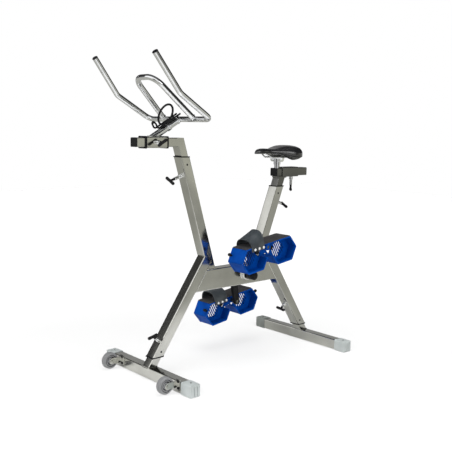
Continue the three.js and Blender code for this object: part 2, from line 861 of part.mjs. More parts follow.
function mouthRingSolid(rear) {
  const front = rear + mouthRing.thickness;
  const outside = levelBar(
    rear,
    front,
    handlebarRail.height,
    frameTube.width + 2 * mouthRing.lip,
    frameTube.depth + 2 * mouthRing.lip,
    frameTube.corner,
  );
  const bore = levelBar(
    rear - overrun,
    front + overrun,
    handlebarRail.height,
    innerTube.width + 2 * gap,
    innerTube.depth + 2 * gap,
    innerTube.corner,
  );
  return outside.subtract(bore);
}

piece(bike, 'carriage_front_bushing', mouthRingSolid(carriageFront + gap), blackPlastic());
const rearRing = mouthRingSolid(carriageRear - gap - mouthRing.thickness);
piece(bike, 'carriage_rear_bushing', rearRing, blackPlastic());

const carriagePin = placedGroup(carriagePinPlace);
piece(carriagePin, 'carriage_plunger_housing', plungerHousing(shortPlunger), brightSteel());
piece(carriagePin, 'carriage_plunger', pullPin(shortPlunger), blackPlastic());

// Stem from the carriage up and back to the crossbar

// A place on the handlebar, from the table's place forward of and above the head.
const headShift = new THREE.Vector3(handlebarHead.x, 0, handlebarHead.z);
const crossbarX = handlebarHead.x + crossbar.x;
const crossbarZ = handlebarHead.z + crossbar.z;
const stemX = handlebarHead.x + stemFoot.x;
const stemRun = new THREE.Vector2(crossbarX - stemX, crossbarZ - carriageTop);
const stemLine = { x: stemX, z: carriageTop, angle: Math.atan2(stemRun.x, stemRun.y) };
const stemPlace = onLine(stemLine, carriageTop);
const crossbarBore = solid(
  round(barTube.radius + gap, [-2 * stemTube.radius, 2 * stemTube.radius], 'y', tubeSides),
  shifted(crossbarX, 0, crossbarZ),
);
const stemReach = stemRun.length();
const stemLimits = [-2 * stemTube.radius, stemReach];
const stemBoreLimits = [-3 * stemTube.radius, stemReach + overrun];
const belowCarriageWall = block([-span, span], [-span, span], [-span, carriageTop - frameTube.wall / 2]);
const stem = solid(round(stemTube.radius, stemLimits, 'z', tubeSides), stemPlace)
  .subtract(solid(round(stemTube.radius - stemTube.wall, stemBoreLimits, 'z', tubeSides), stemPlace))
  .subtract(belowCarriageWall)
  .subtract(crossbarBore);
const carriageSleeve = levelTube(carriageRear, carriageFront, handlebarRail.height, frameTube);
const handlebarCarriage = carriageSleeve.subtract(sleevePinBore(carriagePinPlace)).add(stem);
piece(bike, 'handlebar_carriage', handlebarCarriage, satinSteel());

// Handlebar: crossbar, two hairpin turns, two bends and two upright horns in one bent tube

function mirrored(point) {
  return new THREE.Vector3(point.x, -point.y, point.z);
}

const crossbarEnd = new THREE.Vector3(crossbarX, crossbar.halfWidth + barTube.radius, crossbarZ);
const hornTip = horn.tip.clone().add(headShift);
const hornBend = horn.bend.clone().add(headShift);
const handlebarPath = new BentPath(
  [hornTip, hornBend, crossbarEnd, mirrored(crossbarEnd), mirrored(hornBend), mirrored(hornTip)],
  [horn.bendRadius, horn.turnRadius, horn.turnRadius, horn.bendRadius],
);
piece(bike, 'handlebar', bentBar(handlebarPath, barTube.radius, tubeSides), brightSteel());

// Loop in the middle: its two feet stand on the crossbar
const loopFoot = new THREE.Vector3(crossbarX, loop.footHalfWidth, crossbarZ);
const loopCorner = new THREE.Vector3(loop.topX, loop.topHalfWidth, loop.topZ).add(headShift);
const loopPath = new BentPath(
  [loopFoot, loopCorner, mirrored(loopCorner), mirrored(loopFoot)],
  [loop.bendRadius, loop.bendRadius],
);
const crossbarCut = solid(
  round(barTube.radius + gap, [-crossbar.halfWidth, crossbar.halfWidth], 'y', tubeSides),
  shifted(crossbarX, 0, crossbarZ),
);
const behindCrossbar = block([-span, crossbarX], [-span, span], [-span, span]);
const loopBar = bentBar(loopPath, barTube.radius, tubeSides);
piece(bike, 'handlebar_loop', loopBar.subtract(crossbarCut).subtract(behindCrossbar), brightSteel());

// Bottle cage: a ring and a bent rail of wire over the stem, on a clamp round it.
// In the stem's own frame Z runs up the stem and X away from it, up and forward.
const cageRail = stemTube.radius + cageClamp.thickness + cage.wire;
const cageRing = new THREE.TorusGeometry(cage.ringRadius, cage.wire, wireSides, wheelSides);
cageRing.translate(cage.ringRadius, 0, 0);
cageRing.rotateY(-cage.ringLean);
cageRing.translate(cageRail, 0, cage.ringFoot);
const hookReach = cageRail + cage.lift;
const cagePath = new BentPath(
  [
    new THREE.Vector3(cageRail, cage.railHalfWidth, cage.railHead),
    new THREE.Vector3(cageRail, cage.railHalfWidth, cage.railFoot),
    new THREE.Vector3(hookReach, cage.railHalfWidth, cage.railFoot),
    new THREE.Vector3(hookReach, -cage.railHalfWidth, cage.railFoot),
    new THREE.Vector3(cageRail, -cage.railHalfWidth, cage.railFoot),
    new THREE.Vector3(cageRail, -cage.railHalfWidth, cage.railHead),
  ],
  [cage.bend, cage.bend, cage.bend, cage.bend],
);
const clampLimits = [cageClamp.height - cageClamp.width / 2, cageClamp.height + cageClamp.width / 2];
const clampBore = solid(
  round(stemTube.radius + gap, [clampLimits[0] - overrun, clampLimits[1] + overrun], 'z', tubeSides),
);
const clampRing = solid(round(stemTube.radius + cageClamp.thickness, clampLimits, 'z', tubeSides));
const clampBridge = block(
  [stemTube.radius + 2 * gap, cageRail + cage.wire / 2],
  [-cage.railHalfWidth, cage.railHalfWidth],
  clampLimits,
);
const cageWires = solid(cageRing).add(bentBar(cagePath, cage.wire, wireSides));
const bottleCage = cageWires.add(clampRing.add(clampBridge).subtract(clampBore));
piece(placedGroup(stemPlace), 'bottle_cage', bottleCage, blackPlastic());

// Seat post: telescoping tube with a sleeve welded on its top, over a foot plate

const sleeveRear = sleeveFront - seatSleeve.length;
const sleeveBottom = seatRail.height - frameTube.depth / 2;
const seatPostFoot = seatColumnTop - postInsertion;
const sleevePlate = block(
  [seatHead.x + sleeveFoot.rear, seatHead.x + sleeveFoot.front],
  [-innerTube.width / 2, innerTube.width / 2],
  [sleeveBottom - sleeveFoot.thickness, sleeveBottom + frameTube.wall],
);
const sleeveCavity = levelBar(
  sleeveRear - overrun,
  sleeveFront + frameTube.depth,
  seatRail.height,
  frameTube.width - 2 * frameTube.wall,
  frameTube.depth - 2 * frameTube.wall,
  frameTube.corner - frameTube.wall / 2,
);
const seatUpright = hollowMember(seatColumnLine, seatPostFoot, sleeveBottom, innerTube).subtract(
  indexHoles(plungerSeats.seat_column, postHoles),
);
const seatPost = levelTube(sleeveRear, sleeveFront, seatRail.height, frameTube)
  .add(sleevePlate)
  .add(seatUpright)
  .subtract(sleeveCavity)
  .subtract(sleevePinBore(saddlePinPlace));
piece(bike, 'seat_post', seatPost, satinSteel());

const saddlePin = placedGroup(saddlePinPlace);
piece(saddlePin, 'seat_sleeve_plunger_housing', plungerHousing(longPlunger), brightSteel());
piece(saddlePin, 'seat_sleeve_plunger', pullPin(longPlunger), blackPlastic());

// Bar that slides in the sleeve, with a plug in each end and the saddle post on top.
// From here to the saddle, solids are made about the seat's head and placed with it.

const seatGroup = placedGroup(shifted(seatHead.x, 0, seatHead.z));
const slideRear = seatRail.front - seatRail.length;
const slideTop = innerTube.depth / 2;
const saddlePostSolid = solid(
  round(saddlePost.radius, [slideTop - innerTube.wall / 2, saddlePost.top], 'z', wheelSides),
  shifted(saddlePost.x, 0, 0),
);
const slideBar = levelTube(slideRear, seatRail.front, 0, innerTube).add(saddlePostSolid);
piece(seatGroup, 'saddle_slide_bar', slideBar, satinSteel());
piece(seatGroup, 'slide_bar_front_plug', tubePlug(seatRail.front, 0, 1), blackPlastic());
piece(seatGroup, 'slide_bar_rear_plug', tubePlug(slideRear, 0, -1), blackPlastic());

// Saddle clamp: a collar on the post and a barrel across it, then two jaws that tilt with the rails

const collarLimits = [saddlePost.top - clampCollar.height, tiltAxis.z];
const collar = solid(
  round(saddlePost.radius + clampCollar.thickness, collarLimits, 'z', wheelSides),
  shifted(saddlePost.x, 0, 0),
);
const postBore = solid(
  round(saddlePost.radius + gap, [slideTop, saddlePost.top + gap], 'z', wheelSides),
  shifted(saddlePost.x, 0, 0),
);
const barrel = solid(
  round(tiltAxis.radius, [-tiltAxis.halfWidth, tiltAxis.halfWidth], 'y', wheelSides),
  shifted(saddlePost.x, 0, tiltAxis.z),
);
const tiltPlace = shifted(saddlePost.x, 0, tiltAxis.z);
const clampBoltBore = solid(
  round(jaw.boltRadius + gap, [-2 * tiltAxis.halfWidth, 2 * tiltAxis.halfWidth], 'y', boreSides),
  tiltPlace,
);
piece(seatGroup, 'saddle_clamp', collar.add(barrel).subtract(postBore).subtract(clampBoltBore), blackPlastic());

function railBoreSolid(side) {
  return solid(
    round(rail.radius + 2 * gap, [rail.rear, rail.front], 'x', boreSides),
    shifted(0, side * rail.halfWidth, rail.z),
  );
}

// A round piece across the clamp on one side, between two distances from the middle.
function acrossClamp(radius, side, near, far, sides) {
  const limits = side > 0 ? [near, far] : [-far, -near];
  return solid(round(radius, limits, 'y', sides), tiltPlace);
}

const jawReach = tiltAxis.halfWidth + jaw.thickness;
const headReach = jawReach + jaw.headHeight;
const jaws = [-1, 1].map((side) =>
  acrossClamp(jaw.radius, side, tiltAxis.halfWidth + gap, jawReach, wheelSides).subtract(railBoreSolid(side)),
);
const boltHeads = [-1, 1].map((side) =>
  acrossClamp(jaw.headRadius, side, jawReach - gap, headReach, boreSides),
);
const clampBolt = solid(round(jaw.boltRadius, [-headReach, headReach], 'y', boreSides), tiltPlace);
piece(seatGroup, 'saddle_clamp_jaws', union(...jaws, clampBolt, ...boltHeads), brightSteel());

// Saddle: a padded shell that is narrow at the nose and wide and crowned at the rear

const smooth = (low, high, value) => THREE.MathUtils.smoothstep(value, low, high);

// Half width, top and underside of the saddle at a share of its length from the nose.
function saddleSection(share) {
  const { widestShare, noseShare, dipShare, endShare } = saddle;
  const flare = smooth(noseShare, widestShare, share);
  const beyond = Math.max(0, (share - widestShare) / (1 - widestShare));
  const closing = Math.max(endShare, (1 - beyond ** 2) ** saddle.tailPower);
  const opening = Math.sqrt(1 - (1 - Math.min(share / noseShare, 1)) ** 2);
  const half = (saddle.noseHalfWidth + (saddle.rearHalfWidth - saddle.noseHalfWidth) * flare) * closing;
  const noseDrop = (saddle.noseTop - saddle.dip) * (1 - smooth(0, dipShare, share));
  const crown = saddle.dip + noseDrop + (saddle.top - saddle.dip) * smooth(dipShare, 2 * dipShare, share);
  const rearDrop = (saddle.noseUnder - saddle.rearUnder) * smooth(dipShare, widestShare, share);
  const under = saddle.noseUnder - rearDrop;
  const middle = (crown + under) / 2;
  const lift = endShare + (1 - endShare) * opening;
  return {
    half: half * Math.max(endShare, opening),
    top: under + (middle - under + (crown - middle) * closing) * lift,
    under: middle - (middle - under) * closing,
  };
}

// A sine or cosine made fuller: a power below one squares the ring that it draws.
function squared(value, power) {
  return Math.sign(value) * Math.abs(value) ** power;
}

// Ring of points round the saddle: a low crown above, drawn-in sides and a hollow underside.
function saddleRing(share) {
  const { half, top, under } = saddleSection(share);
  const middle = under + (top - under) * saddle.waistShare;
  const x = saddle.nose + (saddle.tail - saddle.nose) * share;
  return Array.from({ length: saddle.ringPoints }, (_, i) => {
    const turn = (2 * Math.PI * i) / saddle.ringPoints;
    const across = squared(Math.cos(turn), saddle.sidePower);
    const up = Math.sin(turn);
    const tuck = up < 0 ? 1 - saddle.tuckShare * up * up : 1;
    const rise = squared(up, up > 0 ? saddle.crownPower : saddle.bellyPower);
    const z = middle + rise * (up > 0 ? top - middle : middle - under);
    return new THREE.Vector3(x, half * across * tuck, z);
  });
}

// Corners of the skin between each ring and the next.
function skinCorners(rings) {
  const count = rings[0].length;
  const corners = [];
  for (let j = 0; j < rings.length - 1; j += 1) {
    for (let i = 0; i < count; i += 1) {
      const [a, b] = [j * count + i, j * count + ((i + 1) % count)];
      corners.push(a, b, a + count, b, b + count, a + count);
    }
  }
  return corners;
}

function solidOfPoints(points, corners) {
  const geometry = new THREE.BufferGeometry();
  const places = points.flatMap((point) => point.toArray());
  geometry.setAttribute('position', new THREE.Float32BufferAttribute(places, 3));
  geometry.setIndex(corners);
  return solid(geometry);
}

function middleOf(ring) {
  const sum = new THREE.Vector3();
  for (const point of ring) sum.add(point);
  return sum.divideScalar(ring.length);
}

// Solid through rings, closed to a point in the middle of the first and last ring.
function loftedSolid(rings) {
  const count = rings[0].length;
  const end = (rings.length - 1) * count;
  const points = [...rings.flat(), middleOf(rings[0]), middleOf(rings[rings.length - 1])];
  const [first, last] = [points.length - 2, points.length - 1];
  const corners = skinCorners(rings);
  for (let i = 0; i < count; i += 1) {
    corners.push(first, (i + 1) % count, i);
    corners.push(last, end + i, end + ((i + 1) % count));
  }
  return solidOfPoints(points, corners);
}

const saddleRings = Array.from({ length: saddle.stations }, (_, i) => {
  const turn = (Math.PI * i) / (saddle.stations - 1);
  return saddleRing((1 - Math.cos(turn)) / 2);
});
const saddleBlank = loftedSolid(saddleRings);

// The underside is hollow over the rails and the clamp.
const hollowHalfWidth = rail.halfWidth + 2 * jaw.headHeight + 2 * rail.radius;
const saddleHollow = block(
  [rail.rear - 2 * rail.bend, rail.front + rail.bend],
  [-hollowHalfWidth, hollowHalfWidth],
  [saddle.rearUnder - overrun - saddle.noseHalfWidth, saddle.noseUnder + overrun],
);

// Rails: one wire, bent round under the nose, that rises from the clamp into the nose and the tail.
const railHalf = [
  new THREE.Vector3(rail.tailX, rail.halfWidth, rail.tailZ),
  new THREE.Vector3(rail.rear, rail.halfWidth, rail.z),
  new THREE.Vector3(rail.front, rail.halfWidth, rail.z),
  new THREE.Vector3(rail.noseX, rail.noseHalfWidth, rail.noseZ),
];
const railBends = [rail.bend, rail.bend, rail.noseBend];
const railPath = new BentPath(
  [...railHalf, ...railHalf.map(mirrored).reverse()],
  [...railBends, ...railBends.toReversed()],
);
piece(seatGroup, 'saddle_rails', bentBar(railPath, rail.radius, wireSides), brightSteel());
const railSockets = bentBar(railPath, rail.radius + gap, wireSides);
piece(seatGroup, 'saddle', saddleBlank.subtract(saddleHollow).subtract(railSockets), saddleCover());

// Bottom bracket: shell through the beam, the bearing cartridge in it, axle and cranks

const bracketPlace = shifted(bracket.x, 0, bracket.z);
const shellLimits = [-bracket.halfWidth, bracket.halfWidth];
const shellBoreLimits = [-bracket.halfWidth - overrun, bracket.halfWidth + overrun];
const shell = solid(round(bracket.shellRadius, shellLimits, 'y', wheelSides)).subtract(
  solid(round(bracket.shellBore, shellBoreLimits, 'y', wheelSides)),
);
piece(placedGroup(bracketPlace), 'bottom_bracket_shell', shell, brightSteel());

const cartridgeLimits = [bearing.inset - bracket.halfWidth, bracket.halfWidth - bearing.inset];
const cartridge = solid(round(bracket.shellBore - gap, cartridgeLimits, 'y', wheelSides)).subtract(
  solid(round(axle.radius + gap, shellLimits, 'y', tubeSides)),
);
piece(placedGroup(bracketPlace), 'bottom_bracket_cartridge', cartridge, brightSteel());

const crankAxle = solid(round(axle.radius, [-axle.halfLength, axle.halfLength], 'y', tubeSides));
piece(placedGroup(bracketPlace), 'crank_axle', crankAxle, brightSteel());

// Crank in its own frame: the arm runs up local Z from the axle, on the +Y side.
function crankSolid() {
  const outline = new THREE.Shape();
  const reach = crank.length;
  const tangent = Math.asin((crank.bossRadius - crank.endRadius) / reach);
  outline.absarc(0, 0, crank.bossRadius, Math.PI - tangent, 2 * Math.PI + tangent, false);
  outline.absarc(0, reach, crank.endRadius, tangent, Math.PI - tangent, false);
  const arm = new THREE.ExtrudeGeometry(outline, {
    depth: crank.thickness,
    steps: 1,
    bevelEnabled: false,
    curveSegments: wireSides,
  });
  arm.rotateX(Math.PI / 2);
  const armSolid = solid(arm, shifted(0, crank.inner + crank.thickness, 0));
  const boss = solid(round(crank.bossRadius, [crank.bossInner, crank.bossOuter], 'y', wheelSides));
  const axleBore = solid(round(axle.radius + gap, [0, crank.bossOuter + overrun], 'y', tubeSides));
  const spindleBore = solid(
    round(spindle.radius + gap, [0, crank.bossOuter], 'y', tubeSides),
    shifted(0, 0, crank.length),
  );
  return armSolid.add(boss).subtract(axleBore).subtract(spindleBore);
}

// Left crank points up and forward, right crank the opposite way.
const leftCrankPlace = bracketPlace.clone().multiply(new THREE.Matrix4().makeRotationY(crank.angle));
const rightCrankPlace = leftCrankPlace.clone().multiply(new THREE.Matrix4().makeRotationX(Math.PI));
piece(placedGroup(leftCrankPlace), 'left_crank', crankSolid(), blackPlastic());
piece(placedGroup(rightCrankPlace), 'right_crank', crankSolid(), blackPlastic());

// Pedal spindles: screwed into the crank ends
function spindleSolid(side) {
  const along = (from, to) => (side > 0 ? [from, to] : [-to, -from]);
  const pinLimits = along(crank.inner, pedal.inner + pedal.width - overrun);
  const pin = round(spindle.radius, pinLimits, 'y', tubeSides);
  const flangeFoot = crank.inner + crank.thickness + gap;
  const flangeLimits = along(flangeFoot, flangeFoot + spindle.flangeWidth);
  const flange = round(spindle.flangeRadius, flangeLimits, 'y', tubeSides);
  const x = bracket.x + side * crank.length * Math.sin(crank.angle);
  const z = bracket.z + side * crank.length * Math.cos(crank.angle);
  return solid(pin, shifted(x, 0, z)).add(solid(flange, shifted(x, 0, z)));
}
piece(bike, 'left_pedal_spindle', spindleSolid(1), brightSteel());
piece(bike, 'right_pedal_spindle', spindleSolid(-1), brightSteel());

// Pedals, each about the middle of its body: X forward, Z up from the height of the spindle.
// The spindle runs along Y a little ahead of the middle.

const scoopTop = pedal.rise;
const scoopMiddle = scoopTop - scoop.height / 2;
const scoopCentre = scoop.apart / 2 + scoop.tip + scoop.flat / 2;
const pedalHalf = pedal.width / 2;

// Six-sided outline of a scoop about its own middle, drawn in by a wall.
function scoopOutline(wall) {
  const halfHeight = scoop.height / 2;
  const slope = Math.hypot(scoop.tip, halfHeight) / halfHeight;
  const flat = scoop.flat / 2 + (scoop.tip * wall) / halfHeight - wall * slope;
  const tip = scoop.flat / 2 + scoop.tip - wall * slope;
  const outline = new THREE.Shape();
  outline.moveTo(-flat, halfHeight - wall);
  outline.lineTo(flat, halfHeight - wall);
  outline.lineTo(tip, 0);
  outline.lineTo(flat, wall - halfHeight);
  outline.lineTo(-flat, wall - halfHeight);
  outline.lineTo(-tip, 0);
  outline.closePath();
  return outline;
}

function acrossPedal(shape, halfWidth, x, z) {
  const geometry = extruded(shape, 2 * halfWidth);
  geometry.rotateX(Math.PI / 2);
  return solid(geometry, shifted(x, halfWidth, z));
}

// Slots of a grille: a row of leaning bars cut to a round outline.
function grilleSlots(x) {
  const place = shifted(x, 0, scoopMiddle);
  const disc = solid(round(grille.radius, [-web.thickness, web.thickness], 'y', wheelSides), place);
  const bars = Array.from({ length: grille.count }, (_, i) => {
    const offset = (i - (grille.count - 1) / 2) * grille.pitch;
    return block(
      [offset - grille.slot / 2, offset + grille.slot / 2],
      [-web.thickness, web.thickness],
      [-grille.radius, grille.radius],
      place.clone().multiply(new THREE.Matrix4().makeRotationY(grille.lean)),
    );
  });
  return union(...bars).intersect(disc);
}

function scoopSolid(end) {
  const x = end * scoopCentre;
  const shellSolid = acrossPedal(scoopOutline(0), pedalHalf, x, scoopMiddle).subtract(
    acrossPedal(scoopOutline(pedal.wall), pedalHalf + overrun, x, scoopMiddle),
  );
  const webSolid = acrossPedal(scoopOutline(pedal.wall / 2), web.thickness / 2, x, scoopMiddle);
  const innerEdge = end * (scoopCentre - scoop.flat / 2);
  const lip = scoopMiddle - scoop.lipShare * (scoop.height / 2);
  const opening = block(
    end > 0 ? [0, innerEdge] : [innerEdge, 0],
    [-pedal.width, pedal.width],
    [lip, scoopTop + overrun],
  );
  return shellSolid.subtract(opening).add(webSolid.subtract(grilleSlots(x)));
}

// Three-sided hole in the web between the hub and a scoop.
function webHoleSolid(end) {
  const outline = new THREE.Shape();
  outline.moveTo(end * webHole.near, webHole.top);
  outline.lineTo(end * webHole.far, webHole.top);
  outline.lineTo((end * (webHole.near + webHole.far)) / 2, webHole.foot);
  outline.closePath();
  return acrossPedal(outline, web.thickness, 0, 0);
}

function pedalBody() {
  const innerEdge = scoopCentre - scoop.flat / 2;
  const deckSolid = block(
    [-innerEdge, innerEdge],
    [-pedalHalf, pedalHalf],
    [scoopTop - deck.thickness, scoopTop],
  );
  const centreWeb = block(
    [-web.centreReach, web.centreReach],
    [-web.thickness / 2, web.thickness / 2],
    [-web.centreDrop, scoopTop - deck.thickness / 2],
  );
  const spindlePlace = shifted(pedal.behind, 0, 0);
  const tube = solid(round(hub.radius, [-pedalHalf, pedalHalf], 'y', wheelSides), spindlePlace);
  const boreLimits = [-pedalHalf - overrun, pedalHalf + overrun];
  const bore = solid(round(hub.bore, boreLimits, 'y', tubeSides), spindlePlace);
  const webs = union(scoopSolid(1), scoopSolid(-1), centreWeb).subtract(webHoleSolid(1));
  return union(webs.subtract(webHoleSolid(-1)), deckSolid, tube).subtract(bore);
}

function footPlateBody() {
  const size = { x: footPlate.length - 2 * footPlate.edge, y: pedal.width - 2 * footPlate.edge };
  const plate = new THREE.ExtrudeGeometry(roundedRectangle(size.x, size.y, 2 * footPlate.edge), {
    depth: footPlate.thickness - footPlate.edge,
    steps: 1,
    bevelThickness: footPlate.edge / 2,
    bevelSize: footPlate.edge,
    bevelSegments: 1,
    curveSegments: cornerSegments,
  });
  return solid(plate, shifted(0, 0, scoopTop + gap + footPlate.edge / 2));
}

// Strap: an arch over the foot, lower toward the toes, with a tab down each side of the body.
function strapRing(share, { rearHeight, frontHeight }) {
  const x = strap.rear + (strap.front - strap.rear) * share;
  const height = rearHeight + (frontHeight - rearHeight) * share;
  const foot = scoopTop - strap.tab;
  const arch = (grow) => {
    const half = pedalHalf + gap + grow;
    const points = Array.from({ length: strap.archPoints + 1 }, (_, i) => {
      const turn = (Math.PI * i) / strap.archPoints;
      const across = squared(Math.cos(turn), strap.crownPower);
      return new THREE.Vector3(x, half * across, scoopTop + (height + grow) * Math.sin(turn));
    });
    return [new THREE.Vector3(x, half, foot), ...points, new THREE.Vector3(x, -half, foot)];
  };
  return [...arch(strap.thickness), ...arch(0).reverse()];
}

// Solid through rings that are long thin loops: the ends are closed strip by strip.
function bandSolid(rings) {
  const count = rings[0].length;
  const end = (rings.length - 1) * count;
  const corners = skinCorners(rings);
  for (let i = 0; i < count / 2 - 1; i += 1) {
    const [a, b, c, d] = [i, i + 1, count - 2 - i, count - 1 - i];
    corners.push(a, c, b, a, d, c);
    corners.push(end + a, end + b, end + c, end + a, end + c, end + d);
  }
  return solidOfPoints(rings.flat(), corners);
}

const strapBody = (heights) =>
  bandSolid(Array.from({ length: strap.stations }, (_, i) => strapRing(i / (strap.stations - 1), heights)));

// Thumb screws in the sloping faces fore and aft, near the crank. Side is the pedal's side of the bike.
function thumbScrews(side) {
  const slope = Math.atan2(scoop.tip, scoop.height / 2);
  return union(
    ...[-1, 1].map((end) => {
      const z = scoopTop - thumbScrew.drop;
      const x = end * (scoopCentre + scoop.flat / 2 + thumbScrew.drop * Math.tan(slope));
      const place = shifted(x, side * (thumbScrew.fromEnd - pedalHalf), z)
        .multiply(new THREE.Matrix4().makeRotationZ(end > 0 ? 0 : Math.PI))
        .multiply(new THREE.Matrix4().makeRotationY(-slope));
      return solid(round(thumbScrew.radius, [-pedal.wall / 2, thumbScrew.length], 'x', tubeSides), place);
    }),
  );
}

for (const [name, side] of [
  ['left', 1],
  ['right', -1],
]) {
  const place = shifted(
    bracket.x + side * crank.length * Math.sin(crank.angle),
    side * pedalMiddle,
    bracket.z + side * crank.length * Math.cos(crank.angle),
  )
    .multiply(new THREE.Matrix4().makeRotationY(pedal.tilt))
    .multiply(shifted(-pedal.behind, 0, 0));
  const group = placedGroup(place);
  piece(group, `${name}_pedal_body`, pedalBody().add(thumbScrews(side)), bluePlastic());
  piece(group, `${name}_foot_plate`, footPlateBody(), greyTread());
  piece(group, `${name}_pedal_strap`, strapBody(strap[name]), strapRubber());
}

// Stand the bike on the floor with its box centred on the origin
bike.updateMatrixWorld(true);
const box = new THREE.Box3().setFromObject(bike, true);
const middle = box.getCenter(new THREE.Vector3());
bike.position.set(-middle.x, -middle.y, -box.min.z);

export default bike;
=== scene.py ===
# %% [markdown]
# This lesson dresses an aqua bike, an exercise bike that stands on the floor of a pool.
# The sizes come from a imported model, which is loaded first and never moved. Each step then
# shows one piece or one finish: what it is on the real bike, how it could be made, and why
# this way was chosen. Everything is in metres, +X points to the handlebar, +Y to the rider's left.

import json
import math

import bmesh
import bpy
from mathutils import Matrix, Quaternion, Vector


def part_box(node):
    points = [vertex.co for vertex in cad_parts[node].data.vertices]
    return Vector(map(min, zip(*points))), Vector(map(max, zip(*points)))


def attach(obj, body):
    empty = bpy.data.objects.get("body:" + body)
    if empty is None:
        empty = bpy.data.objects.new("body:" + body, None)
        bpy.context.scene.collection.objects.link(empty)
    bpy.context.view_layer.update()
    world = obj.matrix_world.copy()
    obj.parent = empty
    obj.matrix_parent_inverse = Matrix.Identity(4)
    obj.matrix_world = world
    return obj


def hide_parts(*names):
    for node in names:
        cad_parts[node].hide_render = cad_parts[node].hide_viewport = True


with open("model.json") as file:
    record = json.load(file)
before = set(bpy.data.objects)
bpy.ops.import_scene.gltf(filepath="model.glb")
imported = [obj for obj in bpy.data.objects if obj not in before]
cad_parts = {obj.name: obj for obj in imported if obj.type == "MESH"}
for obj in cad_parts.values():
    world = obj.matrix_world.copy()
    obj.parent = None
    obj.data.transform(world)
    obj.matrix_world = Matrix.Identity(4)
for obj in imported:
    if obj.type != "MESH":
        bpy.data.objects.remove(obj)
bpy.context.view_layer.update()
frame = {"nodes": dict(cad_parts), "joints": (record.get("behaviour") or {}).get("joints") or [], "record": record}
body_names = frame["record"]["behaviour"]["bodies"]
body_with = {node: body for body, names in body_names.items() for node in names}
slot_of = {row["node"]: row["material_slot"] for row in frame["record"]["subparts"]}
joints = {joint["name"]: joint for joint in frame["joints"]}

# %% [markdown]
# The bike is laid out in its side view. Each tube follows a centre line that passes through a
# point and leans by an angle, so a line and a height are enough to place anything on a tube.
# The zero of these sizes is halfway between the two base bars, which the frame tells us.

# %% Driving sizes and the lines of the tubes
GAP = 0.0003
TUBE_WIDTH, TUBE_DEPTH, TUBE_CORNER = 0.050, 0.044, 0.005
INNER_WIDTH, INNER_DEPTH, INNER_CORNER = 0.042, 0.036, 0.0035
BAR_TOP, BEAM_TOP, BEAM_HEIGHT = 0.048, 0.414, 0.090
RAIL_HEIGHT, SEAT_RAIL_HEIGHT = 0.945, 0.812
CARRIAGE_TOP = RAIL_HEIGHT + TUBE_DEPTH / 2
SLIDE_BAR_TOP = SEAT_RAIL_HEIGHT + INNER_DEPTH / 2


def middle_of(node):
    low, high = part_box(node)
    return (low + high) / 2


zero_x = (middle_of("front_left_end_cap").x + middle_of("rear_left_end_cap").x) / 2


def from_zero(x, y, z):
    """A place whose x is counted from the zero of the design."""
    return Vector((zero_x + x, y, z))


front_bar_x = middle_of("front_left_end_cap").x - zero_x
rear_bar_x = middle_of("rear_left_end_cap").x - zero_x


class Line:
    """Centre line of a leaning tube: it passes through x and z and leans forward by an angle."""

    def __init__(self, x, z, degrees):
        self.x, self.z, self.angle = x, z, math.radians(degrees)

    def x_at(self, height):
        return zero_x + self.x + (height - self.z) * math.tan(self.angle)

    def place(self, height):
        """Local Z runs up the tube, local X stays forward in the side view."""
        spot = Vector((self.x_at(height), 0, height))
        return Matrix.Translation(spot) @ Matrix.Rotation(self.angle, 4, "Y")


FRONT_LEG_LEAN, REAR_LEG_LEAN, COLUMN_LEAN, SEAT_LEAN, STEM_LEAN = -34.3, 33, 17.4, -21.2, -60.5
FRONT_LEG_SHIFT, REAR_LEG_SHIFT = 0.003, 0.004
COLUMN_X, SEAT_X, STEM_X = 0.1515, -0.1197, 0.437

front_leg = Line(front_bar_x + FRONT_LEG_SHIFT, BAR_TOP, FRONT_LEG_LEAN)
rear_leg = Line(rear_bar_x + REAR_LEG_SHIFT, BAR_TOP, REAR_LEG_LEAN)
front_column = Line(COLUMN_X, BEAM_TOP, COLUMN_LEAN)
seat_column = Line(SEAT_X, BEAM_TOP, SEAT_LEAN)
stem = Line(STEM_X, CARRIAGE_TOP, STEM_LEAN)
print("zero of the design at x", round(zero_x, 5))

# %% [markdown]
# A material is a graph of nodes. Writing it as arithmetic is easier to read than wiring sockets
# one by one, so a small class wraps a socket and turns plus and times into Math nodes.
# Colours go through Mix nodes, because a Math node would turn them grey.

# %% A graph of nodes as Python expressions


class Wire:
    """An output socket on which arithmetic adds Math nodes."""

    def __init__(self, graph, socket):
        self.graph, self.socket = graph, socket

    def math(self, operation, first, second):
        return self.graph.node("ShaderNodeMath", {"operation": operation}, [first, second])

    def __add__(self, other):
        return self.math("ADD", self, other)

    __radd__ = __add__

    def __mul__(self, other):
        return self.math("MULTIPLY", self, other)

    def above(self, low, high):
        """Smooth step: 0 below low and 1 above high."""
        settings = {"interpolation_type": "SMOOTHSTEP"}
        return self.graph.node("ShaderNodeMapRange", settings, [self, low, high, 0, 1])


